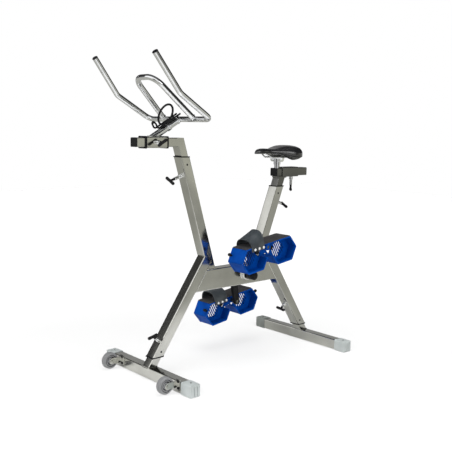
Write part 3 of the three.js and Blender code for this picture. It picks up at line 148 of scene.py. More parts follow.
class Graph:
    """A node tree whose nodes come from one method."""

    def __init__(self, tree):
        self.tree = tree
        tree.nodes.clear()

    def node(self, kind, settings=None, inputs=(), output=0):
        made = self.tree.nodes.new(kind)
        for name, value in (settings or {}).items():
            setattr(made, name, value)
        pairs = inputs.items() if isinstance(inputs, dict) else enumerate(inputs)
        for key, value in pairs:
            self.feed(made.inputs[key], value)
        return Wire(self, made.outputs[output])

    def feed(self, socket, value):
        if isinstance(value, Wire):
            self.tree.links.new(value.socket, socket)
        elif isinstance(value, (tuple, list)) and len(value) == 3 and socket.type == "RGBA":
            socket.default_value = (*value, 1)
        else:
            socket.default_value = value

    def mix(self, share, first, second):
        """Colour between two others."""
        return self.node("ShaderNodeMix", {"data_type": "RGBA"}, {0: share, 6: first, 7: second}, 2)

    def dot(self, vector, direction):
        """How far a vector reaches along a direction."""
        return self.node("ShaderNodeVectorMath", {"operation": "DOT_PRODUCT"}, [vector, direction], "Value")

    def coordinates(self, turn=(0, 0, 0), stretch=(1, 1, 1)):
        """Object coordinates, turned by degrees and stretched."""
        place = self.node("ShaderNodeTexCoord", output="Object")
        angles = tuple(math.radians(a) for a in turn)
        turned = self.node("ShaderNodeMapping", {}, {"Vector": place, "Rotation": angles})
        return self.node("ShaderNodeMapping", {}, {"Vector": turned, "Scale": stretch})

    def noise(self, vector, scale, detail=3, roughness=0.5):
        sockets = {"Vector": vector, "Scale": scale, "Detail": detail, "Roughness": roughness}
        return self.node("ShaderNodeTexNoise", {}, sockets, "Fac")


print("a", Graph.__name__, "gives back", Wire.__name__, "objects")

# %% [markdown]
# A finish is such a graph round one Principled shader, the general surface of Blender. What
# stays the same over a whole piece, such as how metallic it is, is set on the shader itself, and
# only what changes over the surface gets nodes: colour, roughness and fine bumps.

# %% A finish round one shader


class Finish(Graph):
    """A material round one Principled shader. Constants are set on the shader's own sockets."""

    def __init__(self, name, colour, roughness, metallic=0.0, **constants):
        self.material = bpy.data.materials.new(name)
        self.material.use_nodes = True
        super().__init__(self.material.node_tree)
        self.shader = self.tree.nodes.new("ShaderNodeBsdfPrincipled")
        output = self.tree.nodes.new("ShaderNodeOutputMaterial")
        self.tree.links.new(self.shader.outputs[0], output.inputs["Surface"])
        self.set("Base Color", colour)
        self.set("Roughness", roughness)
        self.set("Metallic", metallic)
        for key, value in constants.items():
            self.set(key.replace("_", " ").title().replace("Ior", "IOR"), value)

    def set(self, socket, value):
        self.feed(self.shader.inputs[socket], value)

    def bump(self, height, strength, distance):
        sockets = {"Strength": strength, "Distance": distance, "Height": height}
        self.set("Normal", self.node("ShaderNodeBump", {}, sockets))


print("a", Finish.__name__, "is a", Finish.__base__.__name__)

# %% [markdown]
# Stainless tube for pools is ground to a satin surface. The belt leaves fine streaks along the
# tube, and handling leaves faint cloudy patches. One function makes the finish for any tube:
# it takes the lean of the tube, so that the streaks run along it. The seat's tubes look much
# darker than the frame, so they get the same finish with a darker colour and more roughness.

# %% Steel finishes
FINE, MIDDLE, COARSE = 0.0001, 0.0002, 0.0003


def satin_steel(name, lean=0.0, colour=(0.60, 0.60, 0.56), roughness=0.13):
    finish = Finish(name, colour, roughness, metallic=1.0)
    along = finish.coordinates(turn=(0, -lean, 0), stretch=(1, 1, 0.03))
    streaks = finish.noise(along, 420, detail=3)
    clouds = finish.noise(finish.coordinates(), 9, detail=4)
    darker = tuple(part * 0.86 for part in colour)
    finish.set("Base Color", finish.mix(clouds.above(0.35, 0.7), colour, darker))
    finish.set("Roughness", roughness - 0.05 + streaks * 0.06 + clouds * 0.05)
    finish.bump(streaks, 0.05, FINE)
    return finish


def bright_steel(name):
    colour = (0.86, 0.87, 0.88)
    finish = Finish(name, colour, 0.08, metallic=1.0)
    smudges = finish.noise(finish.coordinates(), 35, detail=5)
    finish.set("Base Color", finish.mix(smudges.above(0.45, 0.8), colour, (0.74, 0.75, 0.76)))
    finish.set("Roughness", 0.05 + smudges * 0.05)
    return finish


tube_finish = {
    "front_column": satin_steel("satin steel front column", COLUMN_LEAN),
    "seat_column": satin_steel("satin steel seat column", SEAT_LEAN),
    "front_leg": satin_steel("satin steel front leg", FRONT_LEG_LEAN),
    "rear_leg": satin_steel("satin steel rear leg", REAR_LEG_LEAN),
    "level": satin_steel("satin steel level", 90),
    "across": satin_steel("satin steel across"),
}
dark_steel = satin_steel("dark satin steel", 90, (0.19, 0.19, 0.18), 0.27)
chrome = bright_steel("polished steel")
print("steel finishes", len(tube_finish) + 2)

# %% [markdown]
# The black fittings, grey caps and blue pedals are moulded plastic. Mould plastic is never one
# flat colour: it has a fine grain, a slow change of shade, and a slight haze where hands and
# water reach it. A shared function gives each moulding its own grain and contrast.

# %% Plastic and rubber finishes


def moulded(name, colour, shade, roughness, grain, depth, **constants):
    finish = Finish(name, colour, roughness, **constants)
    clouds = finish.noise(finish.coordinates(), 22, detail=5)
    pits = finish.noise(finish.coordinates(), grain, detail=2)
    finish.set("Base Color", finish.mix(clouds.above(0.3, 0.75), colour, shade))
    finish.set("Roughness", roughness - 0.08 + clouds * 0.1 + pits * 0.08)
    finish.bump(pits, 0.35, depth)
    return finish


matt = {"specular_ior_level": 0.2}
black, faded_black = (0.004, 0.004, 0.005), (0.010, 0.010, 0.011)
black_plastic = moulded("black plastic", black, faded_black, 0.42, 1400, FINE, **matt)
deep = {"specular_ior_level": 0.06}
blue, faded_blue = (0.0002, 0.062, 0.36), (0.0002, 0.042, 0.25)
blue_plastic = moulded("blue plastic", blue, faded_blue, 0.42, 1100, FINE, **deep)
grey_cap = moulded("grey cap plastic", (0.50, 0.535, 0.53), (0.43, 0.465, 0.46), 0.5, 900, MIDDLE)
# painted shade: a darker grey for the rear right cap, which lies in shadow
cap_painted_shade = moulded("cap plastic with painted shade", (0.26, 0.28, 0.265), (0.20, 0.215, 0.20), 0.5, 900, MIDDLE)
tread = moulded("foot plate tread", (0.030, 0.030, 0.032), (0.044, 0.042, 0.043), 0.6, 700, COARSE)
strap_rubber = moulded("strap rubber", (0.030, 0.036, 0.041), (0.058, 0.066, 0.072), 0.38, 1000, MIDDLE)
tyre_rubber = moulded("grey tyre rubber", (0.245, 0.248, 0.253), (0.19, 0.193, 0.198), 0.62, 1000, COARSE)
hub_plastic = moulded("pale hub plastic", (0.55, 0.56, 0.58), (0.45, 0.46, 0.48), 0.4, 900, FINE)
stud_steel = moulded("plated stud", (0.88, 0.88, 0.87), (0.78, 0.78, 0.77), 0.35, 900, FINE, metallic=0.3)
print("black", black_plastic.material.name, "blue", blue_plastic.material.name)

# %% [markdown]
# The saddle cover is glossy coated vinyl with a shallow leather grain. Cells of a Voronoi
# texture make the grain, and a thin clear coat gives the wet-looking highlight.

# %% Saddle cover


def saddle_vinyl():
    shine = {"specular_ior_level": 0.5, "coat_weight": 0.6, "coat_roughness": 0.2, "coat_ior": 1.9}
    finish = Finish("saddle vinyl", (0.006, 0.006, 0.007), 0.3, **shine)
    place = finish.coordinates()
    cells = finish.node("ShaderNodeTexVoronoi", {}, {"Vector": place, "Scale": 520}, "Distance")
    clouds = finish.noise(place, 25, detail=4)
    finish.set("Base Color", finish.mix(clouds, black, faded_black))
    finish.set("Roughness", 0.24 + clouds * 0.12)
    finish.bump(cells, 0.25, COARSE)
    return finish


vinyl = saddle_vinyl()
print("vinyl", vinyl.material.name)

# %% [markdown]
# Shapes are lists of rings: points round a section, repeated along the piece. Joining each ring
# to the next makes the skin, whether the piece is a bent tube, a turned knob or a moulded shell.
# Corners are rounded by one function that works for paths and for sections alike.

# %% Rings and rounded corners


class Shape:
    """Points and faces that grow by rings."""

    def __init__(self):
        self.points, self.faces = [], []

    def add(self, rings, caps=(True, True), closed=False):
        start, count = len(self.points), len(rings[0])
        for ring in rings:
            self.points.extend(ring)
        spans = len(rings) if closed else len(rings) - 1
        for j in range(spans):
            near = start + j * count
            far = start + ((j + 1) % len(rings)) * count
            for i in range(count):
                k = (i + 1) % count
                self.faces.append((near + i, near + k, far + k, far + i))
        if not closed and caps[0]:
            self.faces.append(tuple(range(start + count - 1, start - 1, -1)))
        if not closed and caps[1]:
            end = start + (len(rings) - 1) * count
            self.faces.append(tuple(range(end, end + count)))
        return self


def bent(corners, radius, steps=8, closed=False):
    """Points along straight runs with rounded corners. The radius is one value or one for each."""
    corners = [Vector(corner).to_3d() for corner in corners]
    count = len(corners)
    inner = list(range(count)) if closed else list(range(1, count - 1))
    radii = list(radius) if isinstance(radius, (tuple, list)) else [radius] * len(inner)
    points = [] if closed else [corners[0]]
    for i, bend in zip(inner, radii):
        corner = corners[i]
        back = (corners[i - 1] - corner).normalized()
        ahead = (corners[(i + 1) % count] - corner).normalized()
        half = back.angle(ahead) / 2
        centre = corner + (back + ahead).normalized() * bend / math.sin(half)
        start = corner + back * bend / math.tan(half) - centre
        end = corner + ahead * bend / math.tan(half) - centre
        axis, turn = start.cross(end).normalized(), start.angle(end)
        points.extend(centre + Quaternion(axis, turn * k / steps) @ start for k in range(steps + 1))
    return points if closed else [*points, corners[-1]]


def rectangle(width, depth, radius, steps=6):
    """Section of a rectangular tube, width across local Y and depth across local X."""
    x, y = depth / 2, width / 2
    return bent([(-x, -y), (x, -y), (x, y), (-x, y)], radius, steps, closed=True)


def circle(radius, sides=32):
    turns = (2 * math.pi * i / sides for i in range(sides))
    return [Vector((radius * math.cos(t), radius * math.sin(t), 0)) for t in turns]


print("a rounded tube section has", len(rectangle(TUBE_WIDTH, TUBE_DEPTH, TUBE_CORNER)), "points")

# %% [markdown]
# Two more ways to get rings cover nearly all the pieces. A sweep carries a section along a path,
# which is how a bent tube or a cord is made. A turned shape spins a profile of radius and height
# about local Z, as a lathe does, and a profile that ends where it starts makes a ring.

# %% Sweeps and turned shapes


def sweep(path, section, closed=False, scales=None):
    """Rings of a section carried along a path without twist."""
    count = len(path)
    scales = scales or [1] * count
    rings, side, before = [], None, None
    for i, point in enumerate(path):
        last = path[i - 1] if i or closed else point
        ahead = path[(i + 1) % count] if i < count - 1 or closed else point
        along = (ahead - last).normalized()
        if side is None:
            side = along.orthogonal().normalized()
        else:
            side = before.rotation_difference(along) @ side
        up, before = along.cross(side), along
        rings.append([point + (side * p.x + up * p.y) * scales[i] for p in section])
    return rings


def turned(shape, profile, place, sides=40, lobes=0, depth=0.0):
    """Adds a lathe shape about local Z, with lobes round it for a grip."""
    closed = profile[0] == profile[-1]
    rows = profile[:-1] if closed else profile
    rings = []
    for radius, height in rows:
        if radius > 0:
            turns = [2 * math.pi * i / sides for i in range(sides)]
            reach = [radius * (1 + depth * math.cos(lobes * t)) for t in turns]
            spots = zip(turns, reach)
            rings.append([place @ Vector((r * math.cos(t), r * math.sin(t), height)) for t, r in spots])
    return shape.add(rings, closed=closed)


def moved(rings, place):
    return [[place @ point for point in ring] for ring in rings]


print("a straight sweep has", len(sweep([Vector((0, 0, 0)), Vector((0, 0, 1))], circle(1))), "rings")

# %% [markdown]
# Every piece is finished in the same way: a mesh is made, its edges are softened by a narrow
# bevel where a width is given, faces shade smoothly up to a sharp angle, and the piece is told
# which body it rides on and which part of the frame it stands for.

# %% Turning shapes into pieces
SHARP = math.radians(50)


def soften(piece, width):
    bevel = piece.modifiers.new("soft edges", "BEVEL")
    bevel.width, bevel.segments, bevel.limit_method = width, 2, "ANGLE"
    bevel.angle_limit = math.radians(40)
    piece.modifiers.new("even shading", "WEIGHTED_NORMAL").keep_sharp = True


def piece_of_mesh(name, mesh, finish, body, stands_for=(), edge=0.0, second=None):
    """Second is another finish and the test of a face's centre that picks it."""
    mesh.materials.clear()
    mesh.materials.append(finish.material)
    if second:
        mesh.materials.append(second[0].material)
    for face in mesh.polygons:
        face.use_smooth = True
        face.material_index = int(bool(second) and second[1](face.center))
    mesh.set_sharp_from_angle(angle=SHARP)
    piece = bpy.data.objects.new(name, mesh)
    bpy.context.scene.collection.objects.link(piece)
    if edge:
        soften(piece, edge)
    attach(piece, body)
    if stands_for:
        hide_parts(*stands_for)
    print(name, "has", len(mesh.polygons), "faces")
    return piece


def add_piece(name, shape, finish, body, stands_for=(), edge=0.0, second=None):
    mesh = bpy.data.meshes.new(name)
    mesh.from_pydata([tuple(point) for point in shape.points], [], shape.faces)
    work = bmesh.new()
    work.from_mesh(mesh)
    bmesh.ops.recalc_face_normals(work, faces=work.faces)
    work.to_mesh(mesh)
    work.free()
    return piece_of_mesh(name, mesh, finish, body, stands_for, edge, second)


def stand_in(node, shape, finish, edge=0.0, name=None):
    """A finer piece in the place of one CAD node."""
    name = name or f"{node}_dressed"
    return add_piece(name, shape, finish, body_with[node], (node,), edge)


print("edges of over", round(math.degrees(SHARP)), "degrees stay sharp")

# %% [markdown]
# Tubes, sleeves and brackets already have their true shape, with every bore and slot, in the
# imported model. Building them again would repeat that work, so each is copied, its split faces
# are joined, and its edges get the small radius that drawn tube and bent plate have. A piece
# may have two finishes: a test of each face's centre picks the polished posts that are welded
# on satin tube, and the dark bolt heads on the wheel brackets.

# %% Tubes and brackets from the frame
TUBE_EDGE, SAME_SPOT = 0.0006, 0.00001


def refined(node, finish, edge=TUBE_EDGE, second=None):
    work = bmesh.new()
    work.from_mesh(frame["nodes"][node].data)
    bmesh.ops.remove_doubles(work, verts=work.verts, dist=SAME_SPOT)
    flat = math.radians(0.5)
    bmesh.ops.dissolve_limit(work, angle_limit=flat, verts=work.verts, edges=work.edges)
    mesh = bpy.data.meshes.new(f"{node}_dressed")
    work.to_mesh(mesh)
    work.free()
    body, slot = body_with[node], slot_of[node]
    return piece_of_mesh(f"{node}_dressed", mesh, finish, body, (node,), edge, second)


for node in ("front_column", "seat_column", "front_leg", "rear_leg"):
    refined(node, tube_finish[node])
refined("main_beam", tube_finish["level"])
refined("front_base_bar", tube_finish["across"])
refined("rear_base_bar", tube_finish["across"])
refined("handlebar_post", tube_finish["front_column"])
refined("handlebar_carriage", tube_finish["level"], second=(chrome, lambda spot: spot.z > CARRIAGE_TOP))
refined("seat_post", dark_steel)
refined("saddle_slide_bar", dark_steel, second=(chrome, lambda spot: spot.z > SLIDE_BAR_TOP))

BAR_SIZE, FLANGE_FACE, BOLT_REACH, ARM_SIDE = 0.046, 0.0046, 0.008, 0.0187
bolt_start = zero_x + front_bar_x + BAR_SIZE / 2 + FLANGE_FACE
for side_name in ("left", "right"):
    arm_side = joints[f"{side_name}_wheel_spin"]["pos_m"][1] + ARM_SIDE

    def on_bolt(spot, arm_side=arm_side):
        return bolt_start < spot.x < bolt_start + BOLT_REACH and spot.y > arm_side

    refined(f"{side_name}_wheel_bracket", tube_finish["level"], second=(black_plastic, on_bolt))

# %% [markdown]
# Small steel and plastic parts whose frame shape is right get the same treatment. The bushings
# in the tube mouths and the plugs in the tube ends are black mouldings with rounder edges. A
# domed dust cap hides the bolt in the outer face of each crank, a simple turned shape.

# %% Bushings, plugs, bottom bracket, clamp and cranks
BUSHING_EDGE, PLUG_EDGE, FINE_EDGE, CLAMP_EDGE, CRANK_EDGE = 0.0008, 0.001, 0.0005, 0.0006, 0.0015

for tube in ("front_column", "seat_column", "front_leg", "rear_leg", "carriage_front", "carriage_rear"):
    refined(f"{tube}_bushing", black_plastic, BUSHING_EDGE)
for node in ("handlebar_post_plug", "slide_bar_front_plug", "slide_bar_rear_plug"):
    refined(node, black_plastic, PLUG_EDGE)
for node in ("bottom_bracket_shell", "bottom_bracket_cartridge", "crank_axle", "saddle_clamp_jaws"):
    refined(node, chrome, FINE_EDGE)
refined("saddle_clamp", chrome, CLAMP_EDGE)
for node in ("left_crank", "right_crank"):
    refined(node, black_plastic, CRANK_EDGE)

CRANK_FACE, DUST_CAP, CAP_RISE = 0.080, 0.013, 0.005
crank_x, _, crank_z = joints["crank_spin"]["pos_m"]
profile = [(0, GAP), (DUST_CAP, GAP), (DUST_CAP, CAP_RISE * 0.6)]
profile += [(DUST_CAP * 0.85, CAP_RISE * 0.9), (DUST_CAP * 0.4, CAP_RISE), (0, CAP_RISE)]
cap = [(radius, CRANK_FACE + height) for radius, height in profile]
caps = Shape()
for side in (1, -1):
    axle = Matrix.Translation(Vector((crank_x, 0, crank_z)))
    turned(caps, cap, axle @ Matrix.Rotation(-side * math.pi / 2, 4, "X"), 40)
add_piece("crank_caps", caps, black_plastic, "crankset")
for node in ("left_pedal_spindle", "right_pedal_spindle"):
    refined(node, dark_steel, FINE_EDGE)

# %% [markdown]
# Where two tubes meet, the welder leaves a bead: a low rope of overlapping ripples. It follows
# the outline of the joint, so the outline of the tube's section is swept with a small round
# section whose size rises and falls.

# %% Weld beads
BEAD = 0.0021
RIPPLE, RIPPLE_LENGTH = 0.16, 0.0032


def bead_path(outline, spacing):
    """The closed outline cut into short even steps."""
    points = []
    for here, ahead in zip(outline, outline[1:] + outline[:1]):
        count = max(1, round((ahead - here).length / spacing))
        points.extend(here.lerp(ahead, k / count) for k in range(count))
    return points


def weld_bead(name, body, outline, radius=BEAD, finish=None):
    path = bead_path(outline, RIPPLE_LENGTH / 3)
    scales = [1 + RIPPLE * math.sin(2 * math.pi * i / 3) for i in range(len(path))]
    shape = Shape().add(sweep(path, circle(radius, 8), True, scales), closed=True)
    add_piece(name, shape, finish or tube_finish["across"], body)


def level_outline(line, height, width, depth, corner):
    """Outline of a leaning tube where a level plane cuts it."""
    section = rectangle(width, depth / math.cos(line.angle), corner)
    spot = Vector((line.x_at(height), 0, height))
    return [spot + point for point in section]


def leaning_outline(line, side):
    """Outline of the beam's section on the front (1) or rear (-1) face of a leg."""
    half = side * TUBE_DEPTH / 2 / math.cos(line.angle)
    outline = []
    for point in rectangle(TUBE_WIDTH, BEAM_HEIGHT, TUBE_CORNER):
        height = BEAM_TOP - BEAM_HEIGHT / 2 + point.x
        outline.append(Vector((line.x_at(height) + half, point.y, height)))
    return outline


for name, line in (("front_column", front_column), ("seat_column", seat_column)):
    outline = level_outline(line, BEAM_TOP + BEAD / 2, TUBE_WIDTH, TUBE_DEPTH, TUBE_CORNER)
    weld_bead(f"{name}_weld", "frame", outline)
weld_bead("front_leg_weld", "frame", leaning_outline(front_leg, -1))
weld_bead("rear_leg_weld", "frame", leaning_outline(rear_leg, 1))
for name, line in (("front_base", front_leg), ("rear_base", rear_leg)):
    outline = level_outline(line, BAR_TOP + BEAD / 2, INNER_WIDTH, INNER_DEPTH, INNER_CORNER)
    weld_bead(f"{name}_weld", name, outline)

# %% [markdown]
# Each bushing is held by a small black pin pressed into a bore on either side of the tube, a
# little way from the mouth. In the photo they are the dark dots. Only the pin's head shows: a
# domed turned shape that covers the bore and stands a millimetre out of the tube.

# %% Bushing pins
PIN_RADIUS, PIN_DOME, PIN_PROUD = 0.0042, 0.0008, 0.0010
COLUMN_MOUTH, SEAT_MOUTH, FRONT_FOOT, REAR_FOOT = 0.885, 0.747, 0.087, 0.082
BELOW_MOUTH, ABOVE_FOOT = 0.029, 0.018
pin_heights = {
    "front_column": (front_column, COLUMN_MOUTH - BELOW_MOUTH),
    "seat_column": (seat_column, SEAT_MOUTH - BELOW_MOUTH),
    "front_leg": (front_leg, FRONT_FOOT + ABOVE_FOOT),
    "rear_leg": (rear_leg, REAR_FOOT + ABOVE_FOOT),
}
for name, (line, height) in pin_heights.items():
    shape = Shape()
    for side in (1, -1):
        place = line.place(height) @ Matrix.Rotation(-side * math.pi / 2, 4, "X")
        face = TUBE_WIDTH / 2 + PIN_PROUD
        foot = TUBE_WIDTH / 2 + GAP / 2
        profile = [(0, foot), (PIN_RADIUS, foot), (PIN_RADIUS, face - PIN_DOME)]
        profile += [(PIN_RADIUS * 0.7, face - PIN_DOME / 4), (PIN_RADIUS * 0.3, face), (0, face)]
        turned(shape, profile, place, 16)
    add_piece(f"{name}_bushing_pins", shape, black_plastic, "frame")

# %% [markdown]
# The pull pins lock the sliding tubes. A turned steel housing stands on the tube, and a sprung
# pin runs through it to a black T handle. The handle is moulded round the pin: thick at both
# ends for the fingers, slimmer in the middle, with a short flared neck.

# %% Where the pull pins sit
PIN, PIN_TIP, BORE = 0.003, -0.0035, 0.0035
BOSS_RADIUS, COLLAR_RADIUS, CHAMFER = 0.009, 0.0065, 0.0008
HANDLE_HALF, HANDLE_RADIUS, NECK = 0.025, 0.0074, 0.0055
LONG, SHORT = (0.014, 0.038, 0.061), (0.008, 0.019, 0.033)
CARRIAGE_REAR, CARRIAGE_LENGTH = 0.390, 0.097
SLEEVE_FRONT, SLEEVE_LENGTH, SLEEVE_PIN_SHARE = -0.2635, 0.104, 0.78


def seat_on(line, height, side, roll):
    """Local X stands out of the tube's front (1) or rear (-1) face, local Y runs along the handle."""
    place = line.place(height) @ Matrix.Rotation(0 if side > 0 else math.pi, 4, "Z")
    place = place @ Matrix.Translation(Vector((TUBE_DEPTH / 2, 0, 0)))
    return place @ Matrix.Rotation(math.radians(roll), 4, "X")


carriage_x = zero_x + CARRIAGE_REAR + CARRIAGE_LENGTH / 2
sleeve_pin_x = zero_x + SLEEVE_FRONT - SLEEVE_PIN_SHARE * SLEEVE_LENGTH
carriage_seat = (
    Matrix.Translation(Vector((carriage_x, TUBE_WIDTH / 2, RAIL_HEIGHT)))
    @ Matrix.Rotation(math.pi / 2, 4, "Z")
    @ Matrix.Rotation(math.radians(31), 4, "X")
)
sleeve_seat = (
    Matrix.Translation(Vector((sleeve_pin_x, 0, SEAT_RAIL_HEIGHT - TUBE_DEPTH / 2)))
    @ Matrix.Rotation(math.pi / 2, 4, "Y")
    @ Matrix.Rotation(math.radians(45), 4, "X")
)
COLUMN_PIN, SEAT_PIN, FRONT_LEG_PIN, REAR_LEG_PIN, HOUSING_EDGE = 0.817, 0.689, 0.136, 0.198, 0.0003
pin_seats = {
    "front_column": (seat_on(front_column, COLUMN_PIN, 1, -33), LONG),
    "seat_column": (seat_on(seat_column, SEAT_PIN, -1, 24), LONG),
    "front_leg": (seat_on(front_leg, FRONT_LEG_PIN, 1, 38), SHORT),
    "rear_leg": (seat_on(rear_leg, REAR_LEG_PIN, 1, -10), SHORT),
    "carriage": (carriage_seat, SHORT),
    "seat_sleeve": (sleeve_seat, LONG),
}
outward = Matrix.Rotation(math.pi / 2, 4, "Y")
print("pull pins", len(pin_seats))

# %% [markdown]
# Every seat has its local X pointing out of the tube. LONG and SHORT give three distances along
# it: the top of the boss, the end of the housing and the middle of the handle. The housing is
# turned with a fine groove. The handle is turned about its own length, across the pin.

# %% Housings and T handles


def housing_profile(boss, end):
    shoulder = boss + (BOSS_RADIUS - COLLAR_RADIUS)
    groove = boss / 2
    return [
        (BORE, GAP),
        (BOSS_RADIUS, GAP),
        (BOSS_RADIUS, groove - CHAMFER),
        (BOSS_RADIUS - CHAMFER, groove),
        (BOSS_RADIUS, groove + CHAMFER),
        (BOSS_RADIUS, boss),
        (COLLAR_RADIUS, shoulder),
        (COLLAR_RADIUS, end - CHAMFER),
        (COLLAR_RADIUS - CHAMFER, end),
        (BORE, end),
        (BORE, GAP),
    ]


def handle_shape(place, housing_end, reach):
    shape = Shape()
    turned(shape, [(0, PIN_TIP), (PIN, PIN_TIP), (PIN, reach), (0, reach)], place @ outward, 20)
    start = housing_end + GAP
    middle = (start + reach) / 2
    neck = [(0, start), (NECK * 0.9, start), (NECK, start + CHAMFER), (NECK * 0.85, middle)]
    neck += [(NECK * 1.05, reach), (0, reach)]
    turned(shape, neck, place @ outward, 24)
    rows = 24
    profile = [(0, -HANDLE_HALF)]
    for i in range(1, rows):
        share = 2 * i / rows - 1
        end_round = (1 - abs(share) ** 8) ** 0.5
        waist = 0.80 + 0.20 * abs(share) ** 1.5
        profile.append((HANDLE_RADIUS * end_round * waist, share * HANDLE_HALF))
    profile.append((0, HANDLE_HALF))
    along_y = Matrix.Translation(Vector((reach, 0, 0))) @ Matrix.Rotation(-math.pi / 2, 4, "X")
    turned(shape, profile, place @ along_y, 24)
    return shape


for name, (place, (boss, housing_end, reach)) in pin_seats.items():
    housing = turned(Shape(), housing_profile(boss, housing_end), place @ outward, 40)
    stand_in(f"{name}_plunger_housing", housing, chrome, HOUSING_EDGE)
    stand_in(f"{name}_plunger", handle_shape(place, housing_end, reach), black_plastic)

# %% [markdown]
# A moulded cap closes each end of a base bar and is the foot of the bike. It is a box with
# rounded edges, open toward the bar. Its end face has three upright ribs, and a small screw in
# the top holds it on. The box is lofted from sections that shrink over the last few millimetres.
# The rear right cap gets a darker grey, painted shade for the shadow that it lies in.

# %% End caps
CAP_SIZE, CAP_LENGTH, CAP_WALL, CAP_CORNER, CAP_EDGE = 0.050, 0.060, 0.004, 0.006, 0.003
BAR_LENGTH, CAP_EASE = 0.580, 0.0005
RIB_COUNT, RIB_DEPTH, RIB_SHARE = 3, 0.0032, 0.74
SCREW_RADIUS, SCREW_HEIGHT, SCREW_FROM_END = 0.0034, 0.0015, 0.030


def end_cap(node, x, side):
    end = BAR_LENGTH / 2
    base = Matrix.Translation(Vector((zero_x + x, side * end, CAP_SIZE / 2)))
    base = base @ Matrix.Rotation(side * math.pi / 2, 4, "X")

    def section(size, inset, corner):
        return [Vector((p.x, p.y, inset)) for p in rectangle(size, size, corner)]

    cavity = BAR_SIZE + 2 * GAP
    rings = [section(cavity, CAP_WALL, CAP_CORNER), section(cavity, CAP_LENGTH, CAP_CORNER)]
    rings.append(section(CAP_SIZE, CAP_LENGTH, CAP_CORNER))
    face = RIB_DEPTH
    for step in range(5):
        turn = math.pi / 2 * step / 4
        shrink = 2 * CAP_EDGE * (1 - math.cos(turn))
        inset = face + CAP_EDGE * (1 - math.sin(turn))
        rings.append(section(CAP_SIZE - shrink, inset, CAP_CORNER - shrink / 2 + CAP_EASE))
    shape = Shape().add(moved(rings, base))
    rib_pitch = (CAP_SIZE - 2 * CAP_EDGE) / RIB_COUNT
    for i in range(RIB_COUNT):
        offset = (i - (RIB_COUNT - 1) / 2) * rib_pitch
        rib = rectangle(CAP_SIZE - 3 * CAP_EDGE, rib_pitch * RIB_SHARE, RIB_DEPTH)
        foot = [Vector((p.x + offset, p.y, face + GAP)) for p in rib]
        top = [Vector((p.x * 0.85 + offset, p.y * 0.97, 0)) for p in rib]
        shape.add(moved([foot, top], base))
    # the rear right cap takes the darker grey of painted shade
    piece = stand_in(node, shape, cap_painted_shade if node == "rear_right_end_cap" else grey_cap)
    screw = Matrix.Translation(Vector((zero_x + x, side * (end - SCREW_FROM_END), CAP_SIZE)))
    head = [(0, -GAP), (SCREW_RADIUS, -GAP), (SCREW_RADIUS, SCREW_HEIGHT / 2)]
    head += [(SCREW_RADIUS * 0.75, SCREW_HEIGHT), (SCREW_RADIUS * 0.45, SCREW_HEIGHT)]
    head += [(SCREW_RADIUS * 0.4, SCREW_HEIGHT / 3), (0, SCREW_HEIGHT / 3)]
    name = node.replace("end_cap", "cap_screw")
    add_piece(name, turned(Shape(), head, screw, 24), dark_steel, body_with[node])
    return piece


for side_name, side in (("left", 1), ("right", -1)):
    end_cap(f"front_{side_name}_end_cap", front_bar_x, side)
    end_cap(f"rear_{side_name}_end_cap", rear_bar_x, side)

# %% [markdown]
# Two rubber-tyred wheels on the front base bar let the bike be tipped and rolled. A wheel is a
# turned shape: a rounded tread, a groove in the side wall, and a pale hub inside a sunken ring.
# The groove and the ring collect shade, so their faces are painted black as that shade.

# %% Transport wheels
WHEEL_RADIUS, WHEEL_WIDTH, TREAD_ROUND = 0.034, 0.025, 0.006
GROOVE_OUT, GROOVE_IN, GROOVE_DEPTH = 0.0245, 0.0222, 0.002
RIM_RADIUS, HUB_FACE, HUB_NUT, HUB_BORE = 0.0175, 0.0130, 0.0075, 0.0043
RECESS, EASE, HUB_EDGE = 0.005, 0.0008, 0.0003


def mirrored_profile(half):
    """A closed profile from the part above the middle plane, outside edge first."""
    below = [(radius, -height) for radius, height in reversed(half)]
    return [*half, *below, half[0]]


def wheel(side_name):
    middle = Vector(joints[f"{side_name}_wheel_spin"]["pos_m"])
    place = Matrix.Translation(middle) @ Matrix.Rotation(math.pi / 2, 4, "X")
    half = WHEEL_WIDTH / 2
    floor, face = half - GROOVE_DEPTH, half - EASE
    corners = [(WHEEL_RADIUS, 0), (WHEEL_RADIUS, half), (GROOVE_OUT, half), (GROOVE_OUT, floor)]
    corners += [(GROOVE_IN, floor), (GROOVE_IN, face), (RIM_RADIUS, face), (RIM_RADIUS, 0)]
    tyre_half = bent(corners, [TREAD_ROUND] + [EASE / 2] * (len(corners) - 3), 6)
    tyre = mirrored_profile([(p.x, p.y) for p in tyre_half[1:-1]])
    hub_half = [(RIM_RADIUS - GAP, half - RECESS), (HUB_FACE, half - RECESS), (HUB_FACE, face)]
    hub_half += [(HUB_NUT, face), (HUB_NUT, half), (HUB_BORE, half)]
    hub = mirrored_profile(hub_half)

    def reach(spot):
        return math.hypot(spot.x - middle.x, spot.z - middle.z)

    body, node = f"{side_name}_wheel", f"{side_name}_transport_wheel"
    # painted shade: the groove's faces are black for the shade it collects
    groove = (black_plastic, lambda spot: GROOVE_IN < reach(spot) < GROOVE_OUT)
    shape = turned(Shape(), tyre, place, 64)
    add_piece(f"{side_name}_wheel_tyre", shape, tyre_rubber, body, (node,), second=groove)
    # painted shade: the sunken ring round the hub is black for the shade it collects
    recess = (black_plastic, lambda spot: reach(spot) > HUB_FACE)
    shape = turned(Shape(), hub, place, 64)
    add_piece(f"{side_name}_wheel_hub", shape, hub_plastic, body, (), HUB_EDGE, recess)


wheel("left")
wheel("right")

# %% [markdown]
# The handlebar is one polished tube. It runs across, turns back on itself in two tight hairpins,
# and rises to two long horns. A second bent tube makes the loop in the middle. Both follow a
# path of straight runs and round bends, so a path and a radius are all that they need.

